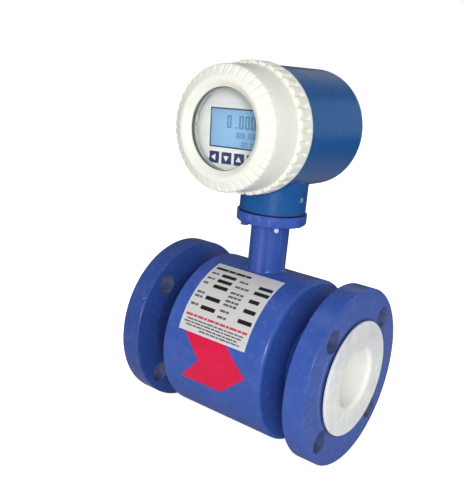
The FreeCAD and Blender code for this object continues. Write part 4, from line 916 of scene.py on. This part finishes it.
class FLOWMETER_OT_finishes(bpy.types.Operator):
    """Makes every material and gives each piece of the frame its own"""
    bl_idname = "flowmeter.finishes"
    bl_label = "Finishes"

    def execute(self, context):
        tone = colours()
        enamel = sensor_enamel("alkyd enamel, violet-blue")
        assign(enamel, "coil_housing_shell", "inlet_end_plate", "outlet_end_plate", "tube_welds",
               "measuring_tube")
        # brushed up and down the neck and dabbed on the disc, where it shows most
        assign(sensor_enamel("alkyd enamel, brushed upright", 0.9, 1.0, (1, 1, 16)), "neck_pipe")
        assign(sensor_enamel("alkyd enamel, dabbed", 1.02, 1.0), "neck_disc")
        assign(sensor_enamel("alkyd enamel over zinc", 0.95, 0.5, wear_and_painted_light=screw_painted_highlight), "neck_screws")
        assign(sensor_enamel("alkyd enamel, outlet flange", 0.99, wear_and_painted_light=flange_wear_and_painted_light), "outlet_flange")
        # painted shade: the inlet flange's enamel is darkened to 0.77 of the colour, standing for the lower
        # light that reaches it
        assign(sensor_enamel("alkyd enamel, inlet flange", 0.77, wear_and_painted_light=flange_wear_and_painted_light), "inlet_flange")
        # fine even powder coat on the die-cast head: satin, with a fine peel
        for node, name, base, roughness, cloud in (
            ("head_housing", "polyester powder coat, teal blue", tone.head, 0.26, 0.05),
            ("front_cover", "polyester powder coat, off-white", tone.cover, 0.36, 0.03),
        ):
            assign(sprayed_coat(name, tuple(base), roughness, 0.0018, 0.03 * MM, cloud), node)
        # clear-anodised ring: pale satin grey with turning marks, dull beside the bright screws
        assign(turned_metal("clear anodised aluminium", linear("#C2C4C1"), 0.4, 1, 0.0004, 0.3),
               "glass_retaining_ring")
        assign(sintered_liner("sintered fluoropolymer"), "liner")
        assign(turned_metal("turned stainless steel", linear("#B9BCC0"), 0.3, 0, 0.0004), "front_electrode",
                "rear_electrode", "electrode_washers", "electrode_nuts")
        assign(moulded_polymer("natural acetal", linear("#D8D3C2"), 0.4, 0.001), "front_electrode_bush",
               "rear_electrode_bush")
        assign(turned_metal("rolled magnet steel", linear("#8C8F94"), 0.45, 0, 0.0006), "upper_pole_shoe",
               "lower_pole_shoe", "return_yoke")
        assign(wound_wire("varnished copper wire"), "upper_coil", "lower_coil")
        assign(turned_metal("zinc-plated steel", linear("#C9CCD0"), 0.28, 2, 0.0003), "coil_screws")
        # a new set screw: bright, a little blue from its passivation
        assign(turned_metal("blue zinc plate", linear("#D6E2F2"), 0.32, 0, 0.0003, 0.6), "neck_set_screw")
        assign(turned_metal("nickel-plated steel", linear("#C6C7C9"), 0.25, 1, 0.0003), "facia_screws",
               "display_board_screws", "terminal_screws")
        assign(turned_metal("drawn brass", linear("#B9985A"), 0.3, 1, 0.0004), "front_pillars",
               "rear_pillars")
        assign(moulded_polymer("nitrile rubber", linear("#1D1E20"), 0.6, 0.0008), "neck_gasket",
               "cover_seal_ring", "power_gland_seal", "signal_gland_seal")
        assign(moulded_polymer("grey silicone rubber", linear("#55605A"), 0.5, 0.0008), "window_gasket")
        assign(clear_glass("toughened float glass"), "window_glass")
        assign(moulded_polymer("matt polyester film", tuple(tone.facia), 0.45, 0.0008), "display_facia")
        assign(backlit_display("backlit liquid crystal"), "lcd_panel")
        assign(moulded_polymer("black polycarbonate", linear("#222428"), 0.45, 0.001), "lcd_frame",
               "key_switches", "power_transformer")
        assign(moulded_polymer("navy silicone rubber", tuple(tone.key), 0.5, 0.0008), "key_left", "key_down",
               "key_up", "key_enter")
        assign(circuit_board("green laminate"), "display_board", "main_board", "power_board")
        assign(moulded_polymer("shrunk sleeve", linear("#22304A"), 0.3, 0.001), "smoothing_capacitors")
        assign(moulded_polymer("green polyamide", linear("#3A8A4C"), 0.4, 0.001), "power_terminals",
               "signal_terminals")
        assign(moulded_polymer("dark grey polyamide", linear("#3A3C40"), 0.5, 0.0012), "power_gland_body",
               "power_gland_nut", "signal_gland_body", "signal_gland_nut")
        assign(label_film("silver polyester film", tuple(tone.label_edge)), "rating_label")
        label_film("silver polyester film, printed grey", tuple(tone.label))
        assign(moulded_polymer("red vinyl film", tuple(tone.accent), 0.3, 0.002), "flow_arrow")
        turned_metal("bare cast aluminium", linear("#A9ADB0"), 0.4, 1, 0.0005)
        printed("display segments", tuple(tone.segment), 0.3)
        printed("navy screen print", tuple(tone.key), 0.4)
        printed("white screen print", tuple(tone.symbol), 0.45)
        printed("black label ink", tuple(tone.ink), 0.45)
        printed("grey label ink", linear("#5C5E66"), 0.45)
        printed("red label ink", linear("#C2405A"), 0.45)
        return {"FINISHED"}


# ---------------------------------------------------------------- stage


def area_light(name, place, target, size, power, tint=(1, 1, 1)):
    """A soft light that faces its target; size is its width and height."""
    light = bpy.data.lights.new(name, "AREA")
    light.shape = "ELLIPSE"
    light.size, light.size_y = size
    light.energy = power
    light.color = tint
    item = bpy.data.objects.new(name, light)
    item.location = place
    item.rotation_euler = (Vector(target) - Vector(place)).to_track_quat("-Z", "Y").to_euler()
    bpy.context.scene.collection.objects.link(item)
    return item


class FLOWMETER_OT_stage(bpy.types.Operator):
    """Makes the floor, the soft studio light and the camera"""
    bl_idname = "flowmeter.stage"
    bl_label = "Stage"

    def execute(self, context):
        scene = context.scene
        stage = scene.flow_meter_stage
        self.floor()
        self.sky(scene, stage.sky, stage.reflected)
        middle = (0, -0.02, 0.08)
        area_light("key_light", (1.0, -1.25, 0.5), middle, (0.3, 0.3), stage.key_power)
        # wide lights, kept out of reflections so that the paint stays deep
        for name, place, power in (
            ("front_light", (1.05, -1.4, 0.2), stage.front_power),
            ("left_light", (-0.9, -1.3, 0.1), stage.left_power),
        ):
            area_light(name, place, middle, (1.6, 1.6), power).visible_glossy = False
        # panels that only show in reflections: a tall strip by the camera, one overhead and one behind
        for name, place, size, power, tint in (
            ("strip_panel", (0.9, -1.33, 0.15), (0.2, 1.7), 4.5, (1, 1, 1)),
            ("overhead_panel", (0.0, 0.1, 1.8), (2.2, 2.2), 3.4, (1, 1, 1)),
            ("rear_panel", (1.1, 1.9, 0.4), (2.2, 2.0), 4.0, (0.8, 0.93, 1)),
            ("far_panel", (-0.6, 2.1, 1.15), (1.1, 1.1), 0.9, (1, 1, 1)),
        ):
            panel = area_light(name, place, (0, 0, 0.15), size, power, tint)
            panel.visible_diffuse = False
            panel.visible_camera = False
        self.camera(scene, stage.lens)
        scene.view_settings.view_transform = "Standard"
        return {"FINISHED"}

    def floor(self):
        mesh = bmesh.new()
        bmesh.ops.create_circle(mesh, cap_ends=True, segments=64, radius=6.0)
        bmesh.ops.translate(mesh, vec=(0, 0, -FLANGE_RADIUS), verts=mesh.verts[:])
        data = bpy.data.meshes.new("floor")
        mesh.to_mesh(data)
        mesh.free()
        floor = bpy.data.objects.new("floor", data)
        bpy.context.scene.collection.objects.link(floor)
        material, tree, output = new_material("white seamless paper")
        clouds = remap(tree, noise(tree, 0.2), 0.3, 0.7, 0, 1)
        paper = blend_colour(tree, clouds, linear("#F0F0F0"), linear("#F4F4F4"))
        # seen directly, the paper is lifted to white, and the object's shadow stays on it; in reflections
        # it dims away from the object, so that the paint stays deep
        rays = add(tree, "ShaderNodeLightPath")
        far = remap(tree, distance_from(tree, (1, 1, 0)), 0.4, 0.75, 0, 1)
        mirrored = blend_colour(tree, far, (0.5, 0.5, 0.5), (0.09, 0.09, 0.09))
        paper = blend_colour(tree, (rays, "Is Glossy Ray"), paper, mirrored)
        diffuse = add(tree, "ShaderNodeBsdfDiffuse", links={"Color": paper})
        lift = add(tree, "ShaderNodeEmission", {"Color": (1, 1, 1, 1)},
                   {"Strength": remap(tree, (rays, "Is Camera Ray"), 0, 1, 0, 0.8)})
        both = add(tree, "ShaderNodeAddShader", links={0: diffuse, 1: lift})
        tree.links.new(both.outputs[0], output.inputs["Surface"])
        data.materials.append(material)

    def sky(self, scene, strength, reflected):
        world = bpy.data.worlds.new("studio")
        scene.world = world
        world.use_nodes = True
        tree = world.node_tree
        tree.nodes.clear()
        rays = add(tree, "ShaderNodeLightPath")
        shown = add(tree, "ShaderNodeMath", {"operation": "MAXIMUM"},
                    {0: (rays, "Is Camera Ray"), 1: (rays, "Is Transmission Ray")})
        mirrored = add(tree, "ShaderNodeMix", {2: strength, 3: reflected}, {0: (rays, "Is Glossy Ray")})
        level = add(tree, "ShaderNodeMix", {3: 1.0}, {0: shown, 2: mirrored})
        background = add(tree, "ShaderNodeBackground", {"Color": (1, 1, 1, 1)}, {"Strength": level})
        output = add(tree, "ShaderNodeOutputWorld")
        tree.links.new(background.outputs[0], output.inputs["Surface"])

    def camera(self, scene, lens):
        data = bpy.data.cameras.new("camera")
        data.lens = lens
        data.sensor_width = 36
        data.clip_start = 0.01
        camera = bpy.data.objects.new("camera", data)
        right = Vector((0.78747, 0.60976, 0.08990))
        up = Vector((-0.22547, 0.14925, 0.96275))
        back = right.cross(up).normalized()
        turn = Matrix((right, up, back)).transposed().to_4x4()
        camera.matrix_world = Matrix.Translation((0.324305, -0.493040, 0.239550)) @ turn
        scene.collection.objects.link(camera)
        scene.camera = camera


class FLOWMETER_PT_panel(bpy.types.Panel):
    """Lists the pieces and their settings"""
    bl_idname = "FLOWMETER_PT_panel"
    bl_label = "Flow meter"
    bl_space_type = "VIEW_3D"
    bl_region_type = "UI"
    bl_category = "Flow meter"

    def draw(self, context):
        layout = self.layout
        scene = context.scene
        for group in (scene.flow_meter_colours, scene.flow_meter_sizes, scene.flow_meter_stage):
            box = layout.box()
            for name in group.__annotations__:
                box.prop(group, name)
        for step in STEPS:
            layout.operator(step.bl_idname)


GROUPS = (FlowMeterColours, FlowMeterSizes, FlowMeterStage)
STEPS = (
    FLOWMETER_OT_finishes, FLOWMETER_OT_cover, FLOWMETER_OT_gasket, FLOWMETER_OT_thread,
    FLOWMETER_OT_display_print, FLOWMETER_OT_key_symbols, FLOWMETER_OT_label, FLOWMETER_OT_arrow,
    FLOWMETER_OT_welds, FLOWMETER_OT_stage,
)
CLASSES = GROUPS + STEPS + (FLOWMETER_PT_panel,)


def register():
    for cls in CLASSES:
        bpy.utils.register_class(cls)
    bpy.types.Scene.flow_meter_colours = PointerProperty(type=FlowMeterColours)
    bpy.types.Scene.flow_meter_sizes = PointerProperty(type=FlowMeterSizes)
    bpy.types.Scene.flow_meter_stage = PointerProperty(type=FlowMeterStage)


def unregister():
    del bpy.types.Scene.flow_meter_stage
    del bpy.types.Scene.flow_meter_sizes
    del bpy.types.Scene.flow_meter_colours
    for cls in reversed(CLASSES):
        bpy.utils.unregister_class(cls)


def main():
    register()
    for step in STEPS:
        group, name = step.bl_idname.split(".")
        if getattr(getattr(bpy.ops, group), name)() != {"FINISHED"}:
            raise RuntimeError(f"{step.bl_label} did not finish")


if __name__ == "__main__":
    main()
